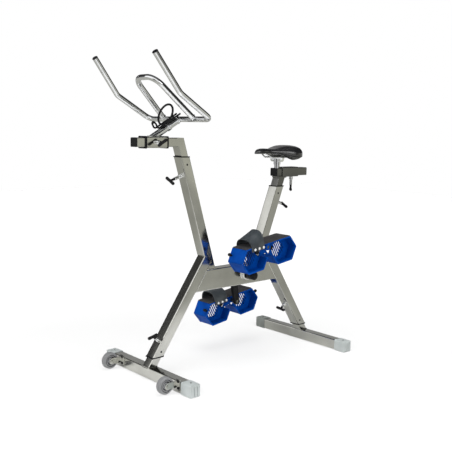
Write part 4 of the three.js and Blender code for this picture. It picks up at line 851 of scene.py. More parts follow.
# %% Handlebar, horn plugs and loop
BAR = 0.011
CROSSBAR_X, CROSS_Z, CROSS_HALF = 0.315, 1.036, 0.184
HORN_BEND, HORN_TIP = (0.470, 0.204, 1.127), (0.577, 0.197, 1.264)
HAIRPIN, HORN_ROUND, LOOP_ROUND = 0.029, 0.040, 0.054
PLUG_PROUD, PLUG_SHOULDER, BAR_BEAD, BAR_EDGE = 0.0006, 0.0004, 0.0018, 0.0004
PLUG_HEIGHTS = (0.0002, 0.0012, 0.003, 0.0048, 0.0056, 0.0058)
LOOP_FOOT, LOOP_TOP = (CROSSBAR_X, 0.096, CROSS_Z), (0.484, 0.064, 1.190)


def other_side(point):
    return Vector((point.x, -point.y, point.z))


cross_end = (CROSSBAR_X, CROSS_HALF + BAR, CROSS_Z)
left_half = [from_zero(*corner) for corner in (HORN_TIP, HORN_BEND, cross_end)]
corners = left_half + [other_side(corner) for corner in reversed(left_half)]
handlebar_path = bent(corners, [HORN_ROUND, HAIRPIN, HAIRPIN, HORN_ROUND], 20)
stand_in("handlebar", Shape().add(sweep(handlebar_path, circle(BAR, 40))), chrome, BAR_EDGE)

for side_name, (tip, bend) in (("left", corners[:2]), ("right", corners[:-3:-1])):
    turn = (tip - bend).to_track_quat("Z", "Y").to_matrix().to_4x4()
    radii = (BAR, BAR + PLUG_PROUD, BAR + PLUG_SHOULDER, BAR * 0.8, BAR * 0.4, 0)
    dome = [(0, 0), *zip(radii, PLUG_HEIGHTS)]
    plug = turned(Shape(), dome, Matrix.Translation(tip) @ turn, 32)
    add_piece(f"{side_name}_horn_plug", plug, black_plastic, "handlebar_assembly")

foot, top = from_zero(*LOOP_FOOT), from_zero(*LOOP_TOP)
loop_path = bent([foot, top, other_side(top), other_side(foot)], LOOP_ROUND, 20)
stand_in("handlebar_loop", Shape().add(sweep(loop_path, circle(BAR, 40))), chrome)


def ring_bead(name, spot, along, radius):
    turn = along.to_track_quat("Z", "Y").to_matrix().to_4x4()
    place = Matrix.Translation(spot) @ turn
    weld_bead(name, "handlebar_assembly", [place @ point for point in circle(radius, 48)], BAR_BEAD, chrome)


for side_name, end in (("left", foot), ("right", other_side(foot))):
    along = ((top if side_name == "left" else other_side(top)) - end).normalized()
    ring_bead(f"{side_name}_loop_weld", end + along * BAR * 1.12, along, BAR + BAR_BEAD / 3)

STEM_RADIUS = 0.014
stem_place = stem.place(CARRIAGE_TOP)
stem_foot_x = stem.x_at(CARRIAGE_TOP)
stem_axis = stem_place.to_3x3() @ Vector((0, 0, 1))
stem_reach = math.hypot(zero_x + CROSSBAR_X - stem_foot_x, CROSS_Z - CARRIAGE_TOP)
ring_bead("stem_top_weld", stem_place @ Vector((0, 0, stem_reach - BAR * 1.05)), stem_axis, STEM_RADIUS)
slope = math.cos(stem.angle)
foot_ring = [Vector((p.x / slope, p.y, 0)) for p in circle(STEM_RADIUS, 48)]
spot = Vector((stem_foot_x, 0, CARRIAGE_TOP + BEAD / 2))
weld_bead("stem_foot_weld", "handlebar_assembly", [spot + p for p in foot_ring], BEAD)

# %% [markdown]
# A wire cage for a drinking bottle sits on the stem. A ring holds the bottle and a bent wire
# runs along the stem and hooks up at its lower end. The wire is dipped in black plastic, with a
# thicker grip in the middle of the hook. A bright band clamps it round the stem over a black
# bridge. In the stem's own axes the work is simple: local Z runs up the stem, local X away.

# %% Bottle cage
WIRE, RING_WIRE, GRIP, GRIP_HALF = 0.0036, 0.0042, 0.0055, 0.006
CLAMP_HEIGHT, CLAMP_WIDTH, CLAMP_THICK = 0.078, 0.014, 0.003
RAIL_GAP, RAIL_BEND = 0.0035, 0.009
RING_RADIUS, RING_LEAN, RING_FOOT = 0.042, 50, 0.058
RAIL_HALF, RAIL_FOOT, RAIL_HEAD, HOOK, BRIDGE_ROUND = 0.012, 0.024, 0.148, 0.028, 0.001

rail_x = STEM_RADIUS + CLAMP_THICK + RAIL_GAP
ring_foot = Matrix.Translation(Vector((rail_x, 0, RING_FOOT)))
ring_place = stem_place @ ring_foot @ Matrix.Rotation(math.radians(-RING_LEAN), 4, "Y")
ring_path = [ring_place @ (Vector((RING_RADIUS, 0, 0)) + point) for point in circle(RING_RADIUS, 72)]
cage = Shape().add(sweep(ring_path, circle(RING_WIRE, 14), closed=True), closed=True)
hook = rail_x + HOOK
rail_corners = [(rail_x, RAIL_HALF, RAIL_HEAD), (rail_x, RAIL_HALF, RAIL_FOOT)]
rail_corners.append((hook, RAIL_HALF, RAIL_FOOT))
rail_corners += [(x, -y, z) for x, y, z in reversed(rail_corners)]
rail_path = bent([stem_place @ Vector(corner) for corner in rail_corners], RAIL_BEND, 10)
cage.add(sweep(rail_path, circle(WIRE, 14)))
grip_shares = {-1: 0.75, -0.5: 0.97, 0: 1, 0.5: 0.97, 1: 0.75}
grip_path = [stem_place @ Vector((hook, share * GRIP_HALF, RAIL_FOOT)) for share in grip_shares]
cage.add(sweep(grip_path, circle(GRIP, 20), scales=list(grip_shares.values())))
band = [(STEM_RADIUS + GAP, -CLAMP_WIDTH / 2), (STEM_RADIUS + CLAMP_THICK, -CLAMP_WIDTH / 2)]
band += [(STEM_RADIUS + CLAMP_THICK, CLAMP_WIDTH / 2), (STEM_RADIUS + GAP, CLAMP_WIDTH / 2)]
band.append(band[0])
cage_band = turned(Shape(), band, stem_place @ Matrix.Translation(Vector((0, 0, CLAMP_HEIGHT))), 40)
add_piece("bottle_cage_band", cage_band, chrome, "handlebar_assembly", edge=FINE_EDGE)
bridge_x = rail_x + BRIDGE_ROUND
corners = [(STEM_RADIUS, -RAIL_HALF), (bridge_x, -RAIL_HALF), (bridge_x, RAIL_HALF), (STEM_RADIUS, RAIL_HALF)]
bridge = bent(corners, BRIDGE_ROUND, 4, closed=True)
levels = (CLAMP_HEIGHT - CLAMP_WIDTH / 2, CLAMP_HEIGHT + CLAMP_WIDTH / 2)
cage.add([[stem_place @ Vector((p.x, p.y, level)) for p in bridge] for level in levels])
stand_in("bottle_cage", cage, black_plastic)

# %% [markdown]
# The saddle is the only padded piece. It is narrow at the nose, dips, then rises to a wide
# crowned rear. Rings across its length carry that form, and a hollow underneath leaves room for
# the rails. Cloth simulation would soften it more, but this cover is stretched tight over firm
# foam, so a direct loft gives the truer shape.

# %% Saddle form
SADDLE_NOSE, SADDLE_TAIL = -0.113, -0.377
TOP, DIP, NOSE_TOP, NOSE_UNDER, REAR_UNDER = 0.933, 0.917, 0.920, 0.894, 0.864
NOSE_HALF, REAR_HALF = 0.021, 0.088
WIDEST_SHARE, NOSE_SHARE, DIP_SHARE, END_SHARE = 0.72, 0.20, 0.34, 0.3
WAIST_SHARE, TUCK_SHARE = 0.45, 0.14
SIDE_POWER, CROWN_POWER, BELLY_POWER, TAIL_POWER = 0.75, 0.9, 0.6, 0.7
HOLLOW_ROOF, HOLLOW_HALF, HOLLOW_EDGE = 0.890, 0.034, 0.014
hollow_shares = (0.08, 0.2, 0.86, 0.95)
STATIONS, ROUND = 72, 72


def smooth(low, high, value):
    share = min(max((value - low) / (high - low), 0), 1)
    return share * share * (3 - 2 * share)


def squared(value, power):
    return math.copysign(abs(value) ** power, value)


def saddle_section(share):
    """Half width, top and underside at a share of the length from the nose."""
    flare = smooth(NOSE_SHARE, WIDEST_SHARE, share)
    beyond = max(0, (share - WIDEST_SHARE) / (1 - WIDEST_SHARE))
    closing = max(END_SHARE, (1 - beyond**2) ** TAIL_POWER)
    opening = math.sqrt(1 - (1 - min(share / NOSE_SHARE, 1)) ** 2)
    half = (NOSE_HALF + (REAR_HALF - NOSE_HALF) * flare) * closing
    crown = DIP + (NOSE_TOP - DIP) * (1 - smooth(0, DIP_SHARE, share))
    crown += (TOP - DIP) * smooth(DIP_SHARE, 2 * DIP_SHARE, share)
    under = NOSE_UNDER - (NOSE_UNDER - REAR_UNDER) * smooth(DIP_SHARE, WIDEST_SHARE, share)
    middle = (crown + under) / 2
    lift = END_SHARE + (1 - END_SHARE) * opening
    high = under + (middle - under + (crown - middle) * closing) * lift
    return half * max(END_SHARE, opening), high, middle - (middle - under) * closing


def saddle_ring(share):
    half, high, low = saddle_section(share)
    middle = low + (high - low) * WAIST_SHARE
    opens, opened, closes, closed = hollow_shares
    x = zero_x + SADDLE_NOSE + (SADDLE_TAIL - SADDLE_NOSE) * share
    ring = []
    for i in range(ROUND):
        turn = 2 * math.pi * i / ROUND
        up = math.sin(turn)
        tuck = 1 - TUCK_SHARE * up * up if up < 0 else 1
        y = half * squared(math.cos(turn), SIDE_POWER) * tuck
        rise = squared(up, CROWN_POWER if up > 0 else BELLY_POWER)
        z = middle + rise * ((high - middle) if up > 0 else (middle - low))
        if up < 0:
            inside = 1 - smooth(HOLLOW_HALF, HOLLOW_HALF + HOLLOW_EDGE, abs(y))
            inside *= smooth(opens, opened, share) * (1 - smooth(closes, closed, share))
            z += max(0, HOLLOW_ROOF - z) * inside
        ring.append(Vector((x, y, z)))
    return ring


shares = [(1 - math.cos(math.pi * i / (STATIONS - 1))) / 2 for i in range(STATIONS)]
saddle_shape = Shape().add([saddle_ring(share) for share in shares])
saddle = stand_in("saddle", saddle_shape, vinyl, name="saddle_cushion")

# %% [markdown]
# A welt runs round the lower edge of the saddle, where the cover is drawn over the base, and a
# line of stitches follows each side of the crown. Thin swept cords along points of the same
# rings keep both exactly on the surface.

# %% Welt and stitching
WELT, THREAD = 0.0016, 0.0005
EDGE_TURN, SEAM_TURN = 0.965, 0.13


def along_saddle(turn_share, first, last, count):
    """Points on the cover at one place round the ring, from share to share of the length."""
    index = round(turn_share * ROUND) % ROUND
    steps = [first + (last - first) * i / (count - 1) for i in range(count)]
    return [saddle_ring(share)[index] for share in steps]


left_edge = along_saddle(EDGE_TURN, 0.02, 0.985, 90)
right_edge = [other_side(point) for point in reversed(left_edge)]
welt = Shape().add(sweep(left_edge + right_edge, circle(WELT, 10), closed=True), closed=True)
add_piece("saddle_welt", welt, black_plastic, "saddle_top")

stitches = Shape()
for side in (1, -1):
    seam = along_saddle(SEAM_TURN, 0.10, 0.90, 120)
    for start, end in zip(seam[::2], seam[1::2]):
        run = [start, start.lerp(end, 0.5) + Vector((0, 0, THREAD / 2)), end]
        if side < 0:
            run = [other_side(point) for point in run]
        stitches.add(sweep(run, circle(THREAD, 6)))
add_piece("saddle_stitches", stitches, strap_rubber, "saddle_top")

# %% [markdown]
# The saddle rails are one steel wire, bent round under the nose, level through the clamp, and
# rising into the tail.

# %% Saddle rails
RAIL_WIRE, RAIL_SIDE, NOSE_SIDE = 0.0035, 0.024, 0.011
RAIL_LEVEL, RAIL_TAIL_TOP, RAIL_NOSE_TOP = 0.879, 0.896, 0.899
RAIL_STARTS, LEVEL_STARTS, LEVEL_ENDS, RAIL_ENDS = (zero_x + x for x in (-0.352, -0.318, -0.196, -0.158))
LEVEL_BEND, NOSE_BEND = 0.016, 0.007
half_rail = [
    (RAIL_STARTS, RAIL_SIDE, RAIL_TAIL_TOP),
    (LEVEL_STARTS, RAIL_SIDE, RAIL_LEVEL),
    (LEVEL_ENDS, RAIL_SIDE, RAIL_LEVEL),
    (RAIL_ENDS, NOSE_SIDE, RAIL_NOSE_TOP),
]
rail_bends = [LEVEL_BEND, LEVEL_BEND, NOSE_BEND]
full_rail = half_rail + [(x, -y, z) for x, y, z in reversed(half_rail)]
rail_wire = bent(full_rail, rail_bends + rail_bends[::-1], 12)
stand_in("saddle_rails", Shape().add(sweep(rail_wire, circle(RAIL_WIRE, 20))), chrome)

# %% [markdown]
# The pedals are the heart of the bike: two six-sided blue scoops, open at the sides, that push
# water as the cranks turn. Each scoop is a bent wall round a thin web, and the web has a round
# grille of leaning slots. All of it is built about the middle of the pedal and then placed on
# its spindle, tilted a little forward.

# %% Pedal sizes and place
PEDAL_WIDTH, PEDAL_TILT, WALL, AXLE_BACK, RISE = 0.087, 8.2, 0.0035, 0.006, 0.0164
SCOOP_HEIGHT, SCOOP_FLAT, SCOOP_TIP, SCOOP_APART = 0.104, 0.086, 0.032, 0.0226
LIP_SHARE, CORNER_OUT, CORNER_LEAST = 0.12, 0.006, 0.001
WEB, HUB_RADIUS, SPINDLE_BORE, DECK = 0.004, 0.014, 0.0076, 0.003
scoop_centre = SCOOP_APART / 2 + SCOOP_TIP + SCOOP_FLAT / 2
scoop_middle = RISE - SCOOP_HEIGHT / 2
half_width = PEDAL_WIDTH / 2
inner_edge = scoop_centre - SCOOP_FLAT / 2


def pedal_place(side_name):
    spot = Vector(joints[f"{side_name}_pedal_spin"]["pos_m"])
    tilt = Matrix.Rotation(math.radians(PEDAL_TILT), 4, "Y")
    return Matrix.Translation(spot) @ tilt @ Matrix.Translation(Vector((-AXLE_BACK, 0, 0)))


def hexagon(wall):
    """Corners of a scoop about its middle, from the lip round to the deck, drawn in by a wall."""
    half = SCOOP_HEIGHT / 2
    slant = math.hypot(SCOOP_TIP, half) / half
    flat = SCOOP_FLAT / 2 + SCOOP_TIP * wall / half - wall * slant
    tip = SCOOP_FLAT / 2 + SCOOP_TIP - wall * slant
    lip = -LIP_SHARE * half
    lip_x = -tip + (tip - flat) * (-lip / (half - wall))
    points = [(lip_x, lip), (-flat, wall - half), (flat, wall - half), (tip, 0)]
    return points + [(flat, half - wall), (-flat, half - wall)]


def facing(end, x, z):
    """A point of a scoop's outline in the pedal's own axes: end 1 is the front scoop."""
    return Vector((end * (scoop_centre + x), 0, scoop_middle + z))


def scoop_band(shape, end, outside, inside, low_y, high_y, place):
    """A wall of the scoop between two insets and two distances across the pedal."""
    outer = bent(hexagon(outside), CORNER_OUT - outside, 5)
    inner = bent(hexagon(inside), max(CORNER_OUT - inside, CORNER_LEAST), 5)
    loop = [*outer, *reversed(inner)]
    across = [Vector((0, y, 0)) for y in (low_y, high_y)]
    shape.add([[place @ (facing(end, p.x, p.y) + step) for p in loop] for step in across])


print("a pedal is", round(2 * (scoop_centre + SCOOP_FLAT / 2 + SCOOP_TIP), 4), "m long")

# %% [markdown]
# Each scoop has a web with a round grille and a three-cornered hole below it, and a third small
# web hangs under the deck between the scoops. A plate with holes is easiest as a flat curve,
# so first each outline and hole is made as a loop of points.

# %% Outlines of the webs, the grille and the holes
GRILLE_RADIUS, SLOT, PITCH, LEAN, SLOTS = 0.035, 0.0055, 0.010, 20, 7
HOLE_NEAR, HOLE_FAR, HOLE_TOP, HOLE_FOOT = 0.018, 0.044, -0.026, -0.045
CENTRE_DROP, CENTRE_TOP_HALF, CENTRE_FOOT_HALF = 0.036, 0.020, 0.016
SLOT_ROUND_SHARE, HOLE_ROUND = 0.42, 0.002


def slot_loops(end):
    """Leaning slots with round ends, inside a circle about the scoop's middle."""
    lean = math.radians(LEAN)
    along = Vector((math.sin(lean), math.cos(lean)))
    across = Vector((math.cos(lean), -math.sin(lean)))
    centre = Vector((end * scoop_centre, scoop_middle))
    loops = []
    for i in range(SLOTS):
        offset = (i - (SLOTS - 1) / 2) * PITCH
        reach = math.sqrt(GRILLE_RADIUS**2 - offset**2) - SLOT / 3
        spots = [(-reach, -SLOT / 2), (reach, -SLOT / 2), (reach, SLOT / 2), (-reach, SLOT / 2)]
        corners = [centre + along * a + across * (offset + b) for a, b in spots]
        loops.append(bent(corners, SLOT * SLOT_ROUND_SHARE, 4, closed=True))
    return loops


def web_outline(end):
    """The web reaches the middle of the wall all round."""
    flat, inset = SCOOP_FLAT / 2, WALL / 2
    tip, high = flat + SCOOP_TIP - inset, SCOOP_HEIGHT / 2 - inset
    loop = [(-tip, 0), (-flat, -high), (flat, -high), (tip, 0), (flat, high), (-flat, high)]
    return [Vector((end * (scoop_centre + x), scoop_middle + z)) for x, z in loop]


def web_hole(end):
    apex = (HOLE_NEAR + HOLE_FAR) / 2
    corners = [(end * HOLE_NEAR, HOLE_TOP), (end * HOLE_FAR, HOLE_TOP), (end * apex, HOLE_FOOT)]
    return bent(corners, HOLE_ROUND, 4, closed=True)


print("a grille has", SLOTS, "slots")

# %% [markdown]
# The loops go into one flat curve, the first as the outline and the others as holes. Blender
# fills it and gives it a thickness, and the mesh of it is turned upright into the pedal.

# %% Web plates


def plate_mesh(loops, thickness, place):
    """Mesh of a plate in the pedal's side plane, with every loop after the first as a hole."""
    curve = bpy.data.curves.new("plate outline", "CURVE")
    curve.dimensions, curve.fill_mode, curve.extrude = "2D", "BOTH", thickness / 2
    for loop in loops:
        spline = curve.splines.new("POLY")
        spline.points.add(len(loop) - 1)
        for point, corner in zip(spline.points, loop):
            point.co = (corner[0], corner[1], 0, 1)
        spline.use_cyclic_u = True
    holder = bpy.data.objects.new("plate outline", curve)
    mesh = bpy.data.meshes.new_from_object(holder)
    bpy.data.objects.remove(holder)
    mesh.transform(place @ Matrix.Rotation(math.pi / 2, 4, "X"))
    work = bmesh.new()
    work.from_mesh(mesh)
    bmesh.ops.remove_doubles(work, verts=work.verts, dist=SAME_SPOT)
    bmesh.ops.recalc_face_normals(work, faces=work.faces)
    work.to_mesh(mesh)
    work.free()
    return mesh


def pedal_webs(side_name, place):
    body, slot = f"{side_name}_pedal", "blue_plastic"
    for end_name, end in (("front", 1), ("rear", -1)):
        loops = [web_outline(end), *slot_loops(end)]
        if end > 0:
            loops[0].reverse()
        loops.append(web_hole(end))
        name = f"{side_name}_pedal_{end_name}_web"
        piece_of_mesh(name, plate_mesh(loops, WEB, place), blue_plastic, body, (), FINE_EDGE)
    top, high, foot = CENTRE_TOP_HALF, RISE - DECK / 2, CENTRE_FOOT_HALF
    drop = [(-top, high), (top, high), (foot, -CENTRE_DROP), (-foot, -CENTRE_DROP)]
    mesh = plate_mesh([drop], WEB, place)
    piece_of_mesh(f"{side_name}_pedal_centre_web", mesh, blue_plastic, body, (), FINE_EDGE)


print("web thickness", WEB)

# %% [markdown]
# The bent walls have a thicker rim along both open edges, as mouldings do to stay stiff, and the
# hub tube for the spindle crosses between the scoops under a flat deck. Knobs screwed into the
# sloping ends hold the halves together, and so do the black screw bosses on both faces of the
# webs. A lathe shape whose radius waves a little round the turn gives a knob its grip.

# %% Pedal bodies
RIM, RIM_WIDTH, HUB_EASE = 0.0012, 0.004, 0.001
SCREW_X, SCREW_Z, SCREW_BOSS, SCREW_REACH, SCREW_EASE = 0.041, -0.018, 0.0092, 0.011, 0.0015
KNOB_RADIUS, KNOB_LENGTH, KNOB_STEM, KNOB_DROP, KNOB_FROM_END = 0.0068, 0.019, 0.0035, 0.029, 0.010
KNOB_FOOT, KNOB_EASE, KNOB_DOME = 0.007, 0.002, 0.003


def knob_shape(side, place):
    shape = Shape()
    slope = math.atan2(SCOOP_TIP, SCOOP_HEIGHT / 2)
    for end in (1, -1):
        z = RISE - KNOB_DROP
        x = end * (scoop_centre + SCOOP_FLAT / 2 + KNOB_DROP * math.tan(slope))
        spot = Matrix.Translation(Vector((x, side * (KNOB_FROM_END - half_width), z)))
        turn = Matrix.Rotation(0 if end > 0 else math.pi, 4, "Z") @ Matrix.Rotation(-slope, 4, "Y")
        profile = [(0, -WALL / 2), (KNOB_STEM, -WALL / 2), (KNOB_STEM, KNOB_FOOT)]
        profile += [(KNOB_RADIUS * 0.9, KNOB_FOOT + GAP), (KNOB_RADIUS, KNOB_FOOT + KNOB_EASE)]
        profile += [(KNOB_RADIUS, KNOB_LENGTH - KNOB_DOME), (KNOB_RADIUS * 0.85, KNOB_LENGTH - KNOB_DOME / 5)]
        profile += [(KNOB_RADIUS * 0.4, KNOB_LENGTH), (0, KNOB_LENGTH)]
        turned(shape, profile, place @ spot @ turn @ outward, 48, lobes=8, depth=0.05)
    return shape


def pedal_body(side_name, side):
    place = pedal_place(side_name)
    shape = Shape()
    for end in (1, -1):
        scoop_band(shape, end, 0, WALL, -half_width, half_width, place)
        for edge in (1, -1):
            low, high = sorted((edge * half_width, edge * (half_width - RIM_WIDTH)))
            scoop_band(shape, end, -RIM, WALL + RIM, low + edge * GAP, high + edge * GAP, place)
    deck = rectangle(PEDAL_WIDTH, 2 * inner_edge + 2 * WALL, HUB_EASE, 2)
    levels = [RISE - DECK, RISE]
    shape.add([[place @ Vector((p.x, p.y, level)) for p in deck] for level in levels])
    hub_place = place @ Matrix.Translation(Vector((AXLE_BACK, 0, 0))) @ Matrix.Rotation(math.pi / 2, 4, "X")
    edge = half_width - HUB_EASE
    hub = [(SPINDLE_BORE, -half_width), (HUB_RADIUS - HUB_EASE, -half_width), (HUB_RADIUS, -edge)]
    hub += [(HUB_RADIUS, edge), (HUB_RADIUS - HUB_EASE, half_width), (SPINDLE_BORE, half_width)]
    hub.append(hub[0])
    turned(shape, hub, hub_place, 48)
    stand_in(f"{side_name}_pedal_body", shape, blue_plastic, FINE_EDGE)
    pedal_webs(side_name, place)
    knobs = knob_shape(side, place)
    for end in (1, -1):
        for face in (1, -1):
            spot = Matrix.Translation(Vector((end * SCREW_X, face * WEB / 2, SCREW_Z)))
            boss = [(0, -GAP), (SCREW_BOSS, -GAP), (SCREW_BOSS, SCREW_REACH - SCREW_EASE)]
            boss += [(SCREW_BOSS * 0.8, SCREW_REACH), (0, SCREW_REACH)]
            turned(knobs, boss, place @ spot @ Matrix.Rotation(-face * math.pi / 2, 4, "X"), 32)
    add_piece(f"{side_name}_pedal_knobs", knobs, black_plastic, f"{side_name}_pedal")


pedal_body("left", 1)
pedal_body("right", -1)

# %% [markdown]
# A ribbed foot plate lies along the top of both scoops. The ribs are real geometry, low bars
# with softened edges across the plate, because a bump alone would vanish at the plate's edge.

# %% Foot plates
PLATE_LENGTH, PLATE_THICK, PLATE_CORNER, PLATE_INSET = 0.262, 0.0026, 0.006, 0.001
PLATE_RIB, PLATE_PITCH, RIB_WIDTH_SHARE, RIB_CORNER = 0.0007, 0.0085, 0.55, 0.0015
PLATE_EDGE = 0.0003
RIBS_FROM_END, RIBS_FROM_SIDE = 0.008, 0.005


def foot_plate(side_name):
    place = pedal_place(side_name)
    foot = RISE + GAP
    base = rectangle(PEDAL_WIDTH - PLATE_INSET, PLATE_LENGTH - PLATE_INSET, PLATE_CORNER, 6)
    levels = [foot, foot + PLATE_THICK]
    shape = Shape().add([[place @ Vector((p.x, p.y, level)) for p in base] for level in levels])
    count = int((PLATE_LENGTH - 2 * RIBS_FROM_END) / PLATE_PITCH)
    for i in range(count):
        x = (i - (count - 1) / 2) * PLATE_PITCH
        rib = rectangle(PEDAL_WIDTH - 2 * RIBS_FROM_SIDE, PLATE_PITCH * RIB_WIDTH_SHARE, RIB_CORNER, 3)
        low = [place @ Vector((p.x + x, p.y, foot + PLATE_THICK - GAP)) for p in rib]
        high = [place @ Vector((p.x * 0.8 + x, p.y * 0.99, foot + PLATE_THICK + PLATE_RIB)) for p in rib]
        shape.add([low, high])
    stand_in(f"{side_name}_foot_plate", shape, tread, PLATE_EDGE)


foot_plate("left")
foot_plate("right")

# %% [markdown]
# A wide rubber strap arches over the foot. The left one is low at the toes and higher behind,
# the right one is level. The two ends run down the sides of the pedal, where three plated studs
# hold each one. The arch is a half-oval, and a cosine raised to a power below one gives it
# square shoulders. Both open edges have a thicker hem, so the rings stand close together there.

# %% Straps and studs
STRAP_REAR, STRAP_FRONT, STRAP_THICK, STRAP_TAB, ARCH_POWER = 0.032, 0.104, 0.003, 0.0165, 0.62
HEM, HEM_SHARE, STRAP_EDGE = 0.0007, 0.05, 0.0006
STUD_RADIUS, STUD_HEIGHT, STUD_EDGE, STUD_FOOT, STUD_DROP = 0.0056, 0.0026, 0.0006, -0.001, 0.0085
STUD_PLACES = (0.037, 0.061, 0.085)
strap_heights = {"left": (0.058, 0.031), "right": (0.040, 0.040)}


def strap_ring(share, rear, front, place):
    x = STRAP_REAR + (STRAP_FRONT - STRAP_REAR) * share
    height = rear + (front - rear) * share
    hem = HEM * (1 - smooth(0, HEM_SHARE, min(share, 1 - share)))

    def arch(grow):
        half = half_width + GAP + grow
        over = []
        for i in range(49):
            turn = math.pi * i / 48
            across = half * squared(math.cos(turn), ARCH_POWER)
            over.append(Vector((x, across, RISE + (height + grow) * math.sin(turn))))
        foot = RISE - STRAP_TAB
        return [Vector((x, half, foot)), *over, Vector((x, -half, foot))]

    return [place @ point for point in [*arch(STRAP_THICK + hem), *reversed(arch(0))]]


def strap(side_name):
    place = pedal_place(side_name)
    rear, front = strap_heights[side_name]
    hem_shares = [0, 0.012, 0.03, HEM_SHARE]
    between = [HEM_SHARE + (1 - 2 * HEM_SHARE) * i / 20 for i in range(1, 20)]
    steps = hem_shares + between + [1 - share for share in reversed(hem_shares)]
    rings = [strap_ring(share, rear, front, place) for share in steps]
    shape = Shape().add(rings, caps=(False, False))
    count = len(rings[0])
    for start, flip in ((0, True), ((len(rings) - 1) * count, False)):
        for i in range(count // 2 - 1):
            face = (start + i, start + i + 1, start + count - 2 - i, start + count - 1 - i)
            shape.faces.append(face[::-1] if flip else face)
    stand_in(f"{side_name}_pedal_strap", shape, strap_rubber, STRAP_EDGE)
    studs = Shape()
    for side in (1, -1):
        face = half_width + GAP + STRAP_THICK
        dome = [(0, STUD_FOOT), (STUD_RADIUS, STUD_FOOT), (STUD_RADIUS, STUD_EDGE)]
        dome += [(STUD_RADIUS * 0.9, STUD_HEIGHT * 0.55), (STUD_RADIUS * 0.6, STUD_HEIGHT * 0.9)]
        dome += [(STUD_RADIUS * 0.25, STUD_HEIGHT), (0, STUD_HEIGHT)]
        for x in STUD_PLACES:
            spot = Matrix.Translation(Vector((x, side * face, RISE - STUD_DROP)))
            turned(studs, dome, place @ spot @ Matrix.Rotation(-side * math.pi / 2, 4, "X"), 28)
    add_piece(f"{side_name}_strap_studs", studs, stud_steel, f"{side_name}_pedal")


strap("left")
strap("right")

# %% [markdown]
# The studio is plain: a pale floor, soft lamps and a sky that metal can reflect. A photographer
# sets bright cards and black flags round polished tube, because it looks like metal only if it
# sees both. Here they are painted on the sky and the floor by direction and place, so they show
# in reflections alone: camera rays see a white sky and a white floor with the bike's soft shadow.
# That floor is partly see-through, so a base bar that is drawn out stays in sight below it.

# %% Grey levels and the places of cards and flags
FLOOR_SIZE = 16.0
NEAR_SPOT, BRIGHT_SPOT = (0.35, 0.3, 0), (0.95, 1.75, 0)
NEAR_FADE, BRIGHT_FADE, EVEN_FADE, GLOW_FADE = (0.3, 1.4), (0.8, 1.1), (0.8, 2.0), (1.0, 2.6)
GLOW_NEAR, GLOW_FAR, SEE_THROUGH = 0.25, 0.6, 0.6
DARK_SIDE = (-0.75, -0.66, 0)
DARK_ABOVE = (-0.985, -0.174, 0)
DULL_SIDE = (-0.669, 0.743, 0)
FLAGS = ((-0.24, 0.97, 0), (0.94, 0.34, 0), (0.40, -0.90, 0.17))
BLACK_CARD = (-0.778, -0.183, 0.599)
BRIGHT_CARD = (0.20, 0.95, 0.24)
GREY_CARD = (-0.64, -0.70, 0.31)


def grey(level, tint=1.0):
    return (level, level, level * tint)


print("flags", len(FLAGS), "cards", len((BLACK_CARD, BRIGHT_CARD, GREY_CARD)))

# %% [markdown]
# The floor has two faces. What metal mirrors is bright near the bike and grey further away, and
# it gives that light evenly, because a lit floor would fade with distance. What the camera sees
# is lit by the lamps, so it keeps the shadow, and a glow that grows outwards turns it white.

# %% Floor


def distance_from(finish, place, spot):
    return finish.node("ShaderNodeVectorMath", {"operation": "DISTANCE"}, [place, spot], "Value")


def pale_floor():
    mesh = bpy.data.meshes.new("studio_floor")
    half = FLOOR_SIZE / 2
    corners = [(-half, -half, 0), (half, -half, 0), (half, half, 0), (-half, half, 0)]
    mesh.from_pydata(corners, [], [(0, 1, 2, 3)])
    floor = bpy.data.objects.new("studio_floor", mesh)
    bpy.context.scene.collection.objects.link(floor)
    finish = Finish("pale floor", grey(0.82), 0.9)
    camera_ray = finish.node("ShaderNodeLightPath", output="Is Camera Ray")
    mirror_ray = finish.node("ShaderNodeLightPath", output="Is Glossy Ray")
    shadow_ray = finish.node("ShaderNodeLightPath", output="Is Shadow Ray")
    place = finish.coordinates()
    away = distance_from(finish, place, NEAR_SPOT)
    reflected = finish.mix(away.above(*NEAR_FADE), grey(0.92), grey(0.44, 0.92))
    from_bright = distance_from(finish, place, BRIGHT_SPOT)
    reflected = finish.mix(from_bright.above(*BRIGHT_FADE), grey(1.0), reflected)
    grain = finish.noise(place, 3)
    seen = finish.mix(grain, grey(0.84), grey(0.80))
    finish.set("Base Color", finish.mix(camera_ray, reflected, seen))
    surface = Wire(finish, finish.shader.outputs[0])
    even = finish.node("ShaderNodeEmission", {}, {"Color": reflected, "Strength": 1.0})
    evened = mirror_ray * away.above(*EVEN_FADE)
    mirrored = finish.node("ShaderNodeMixShader", {}, [evened, surface, even])
    strength = away.above(*GLOW_FADE) * GLOW_FAR + GLOW_NEAR
    glow = finish.node("ShaderNodeEmission", {}, {"Color": grey(1.0), "Strength": strength})
    lit = finish.node("ShaderNodeAddShader", {}, [surface, glow])
    solid = finish.node("ShaderNodeMixShader", {}, [camera_ray, mirrored, lit])
    clear = finish.node("ShaderNodeBsdfTransparent", {}, {"Color": grey(1.0)})
    share = camera_ray * SEE_THROUGH + shadow_ray
    pick = finish.node("ShaderNodeMixShader", {}, [share, solid, clear])
    output = next(node for node in finish.tree.nodes if node.type == "OUTPUT_MATERIAL")
    finish.feed(output.inputs["Surface"], pick)
    mesh.materials.append(finish.material)


pale_floor()
print("floor", FLOOR_SIZE, "m wide")

# %% [markdown]
# The sky starts bright, dimmer below the horizon. Each card or flag is a soft-edged patch round
# its direction, laid over what is there, and the order matters: dark surroundings come after the
# cards, and the grey card that the tops of the base bars see comes last but for the zenith.

# %% Sky


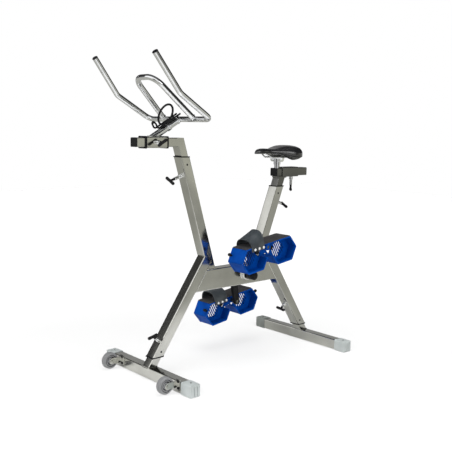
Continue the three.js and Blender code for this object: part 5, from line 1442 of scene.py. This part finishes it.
def studio_sky():
    world = bpy.data.worlds.new("studio")
    world.use_nodes = True
    bpy.context.scene.world = world
    graph = Graph(world.node_tree)
    direction = graph.node("ShaderNodeTexCoord", output="Generated")
    height = graph.dot(direction, (0, 0, 1))

    def toward(spot, low, high):
        return graph.dot(direction, spot).above(low, high)

    sky = graph.mix(height.above(-0.05, 0.0), grey(0.40), grey(1.1))
    sky = graph.mix(toward(DULL_SIDE, 0.6, 0.85), sky, grey(0.60, 0.88))
    for flag in FLAGS:
        sky = graph.mix(toward(flag, 0.955, 0.975), sky, grey(0.03))
    sky = graph.mix(toward(BRIGHT_CARD, 0.95, 0.98), sky, grey(2.5))
    sky = graph.mix(toward(BLACK_CARD, -0.05, 0.0) * height.above(0.22, 0.34), sky, grey(0.06))
    sky = graph.mix(toward(DARK_SIDE, 0.25, 0.45) * height.above(0.0, 0.04), sky, grey(0.02))
    sky = graph.mix(toward(DARK_ABOVE, 0.05, 0.2) * height.above(0.12, 0.20), sky, grey(0.03))
    sky = graph.mix(toward(GREY_CARD, 0.95, 0.98), sky, grey(0.34))
    sky = graph.mix(height.above(0.80, 0.92), sky, grey(0.12))
    light = graph.node("ShaderNodeBackground", {}, [sky, 1.0])
    plain = graph.node("ShaderNodeBackground", {}, [grey(1.0), 1.0])
    camera_ray = graph.node("ShaderNodeLightPath", output="Is Camera Ray")
    seen = graph.node("ShaderNodeMixShader", {}, [camera_ray, light, plain])
    output = graph.tree.nodes.new("ShaderNodeOutputWorld")
    graph.tree.links.new(seen.socket, output.inputs["Surface"])


studio_sky()
print("sky", bpy.context.scene.world.name)

# %% [markdown]
# Three large lamps light the bike: one overhead, one from the rider's left near the camera and
# one from the front. Their power is set so that a colour renders about as it is written. They
# don't show in reflections, where their square shapes would wash out the black mouldings.

# %% Lamps
TARGET = Vector((0, 0, 0.6))
LAMPS = {
    "overhead lamp": ((0.3, 0.4, 3.4), 2.2, 75),
    "left lamp": ((-0.8, 3.2, 2.2), 1.6, 48),
    "front lamp": ((3.4, 0.2, 1.8), 1.6, 31),
}


def soft_lamp(name, place, size, power):
    data = bpy.data.lights.new(name, "AREA")
    data.shape, data.size, data.energy = "SQUARE", size, power
    lamp = bpy.data.objects.new(name, data)
    lamp.location = place
    lamp.visible_glossy = False
    lamp.rotation_mode = "QUATERNION"
    lamp.rotation_quaternion = (TARGET - Vector(place)).to_track_quat("-Z", "Y")
    bpy.context.scene.collection.objects.link(lamp)


for name, (place, size, power) in LAMPS.items():
    soft_lamp(name, place, size, power)
print("lamps", len(LAMPS))

# %% [markdown]
# The camera stands ahead and to the rider's left, a little above the saddle, and looks slightly
# down. Its place and turn were measured from the photo's own perspective.

# %% Camera
IMAGE_WIDTH, FOCAL_PIXELS, SENSOR = 452, 721.11, 36.0
YAW, TILT, ROLL = math.radians(228.08), math.radians(-7.73), math.radians(1.09)
CAMERA_PLACE = (2.10476, 2.28516, 1.00437)

look = Vector((math.cos(TILT) * math.cos(YAW), math.cos(TILT) * math.sin(YAW), math.sin(TILT)))
level_right = look.cross(Vector((0, 0, 1))).normalized()
level_up = level_right.cross(look)
right = level_right * math.cos(ROLL) + level_up * math.sin(ROLL)
up = level_up * math.cos(ROLL) - level_right * math.sin(ROLL)
camera_data = bpy.data.cameras.new("camera")
camera_data.sensor_width = SENSOR
camera_data.lens = FOCAL_PIXELS * SENSOR / IMAGE_WIDTH
camera = bpy.data.objects.new("camera", camera_data)
turn = Matrix((right, up, -look)).transposed().to_4x4()
camera.matrix_world = Matrix.Translation(from_zero(*CAMERA_PLACE)) @ turn
bpy.context.scene.collection.objects.link(camera)
bpy.context.scene.camera = camera
bpy.context.scene.view_settings.view_transform = "Standard"
print("lens", round(camera_data.lens, 2), "mm")

# %% [markdown]
# At the end the scene is brought up to date.

# %% Bring the scene up to date
bpy.context.view_layer.update()
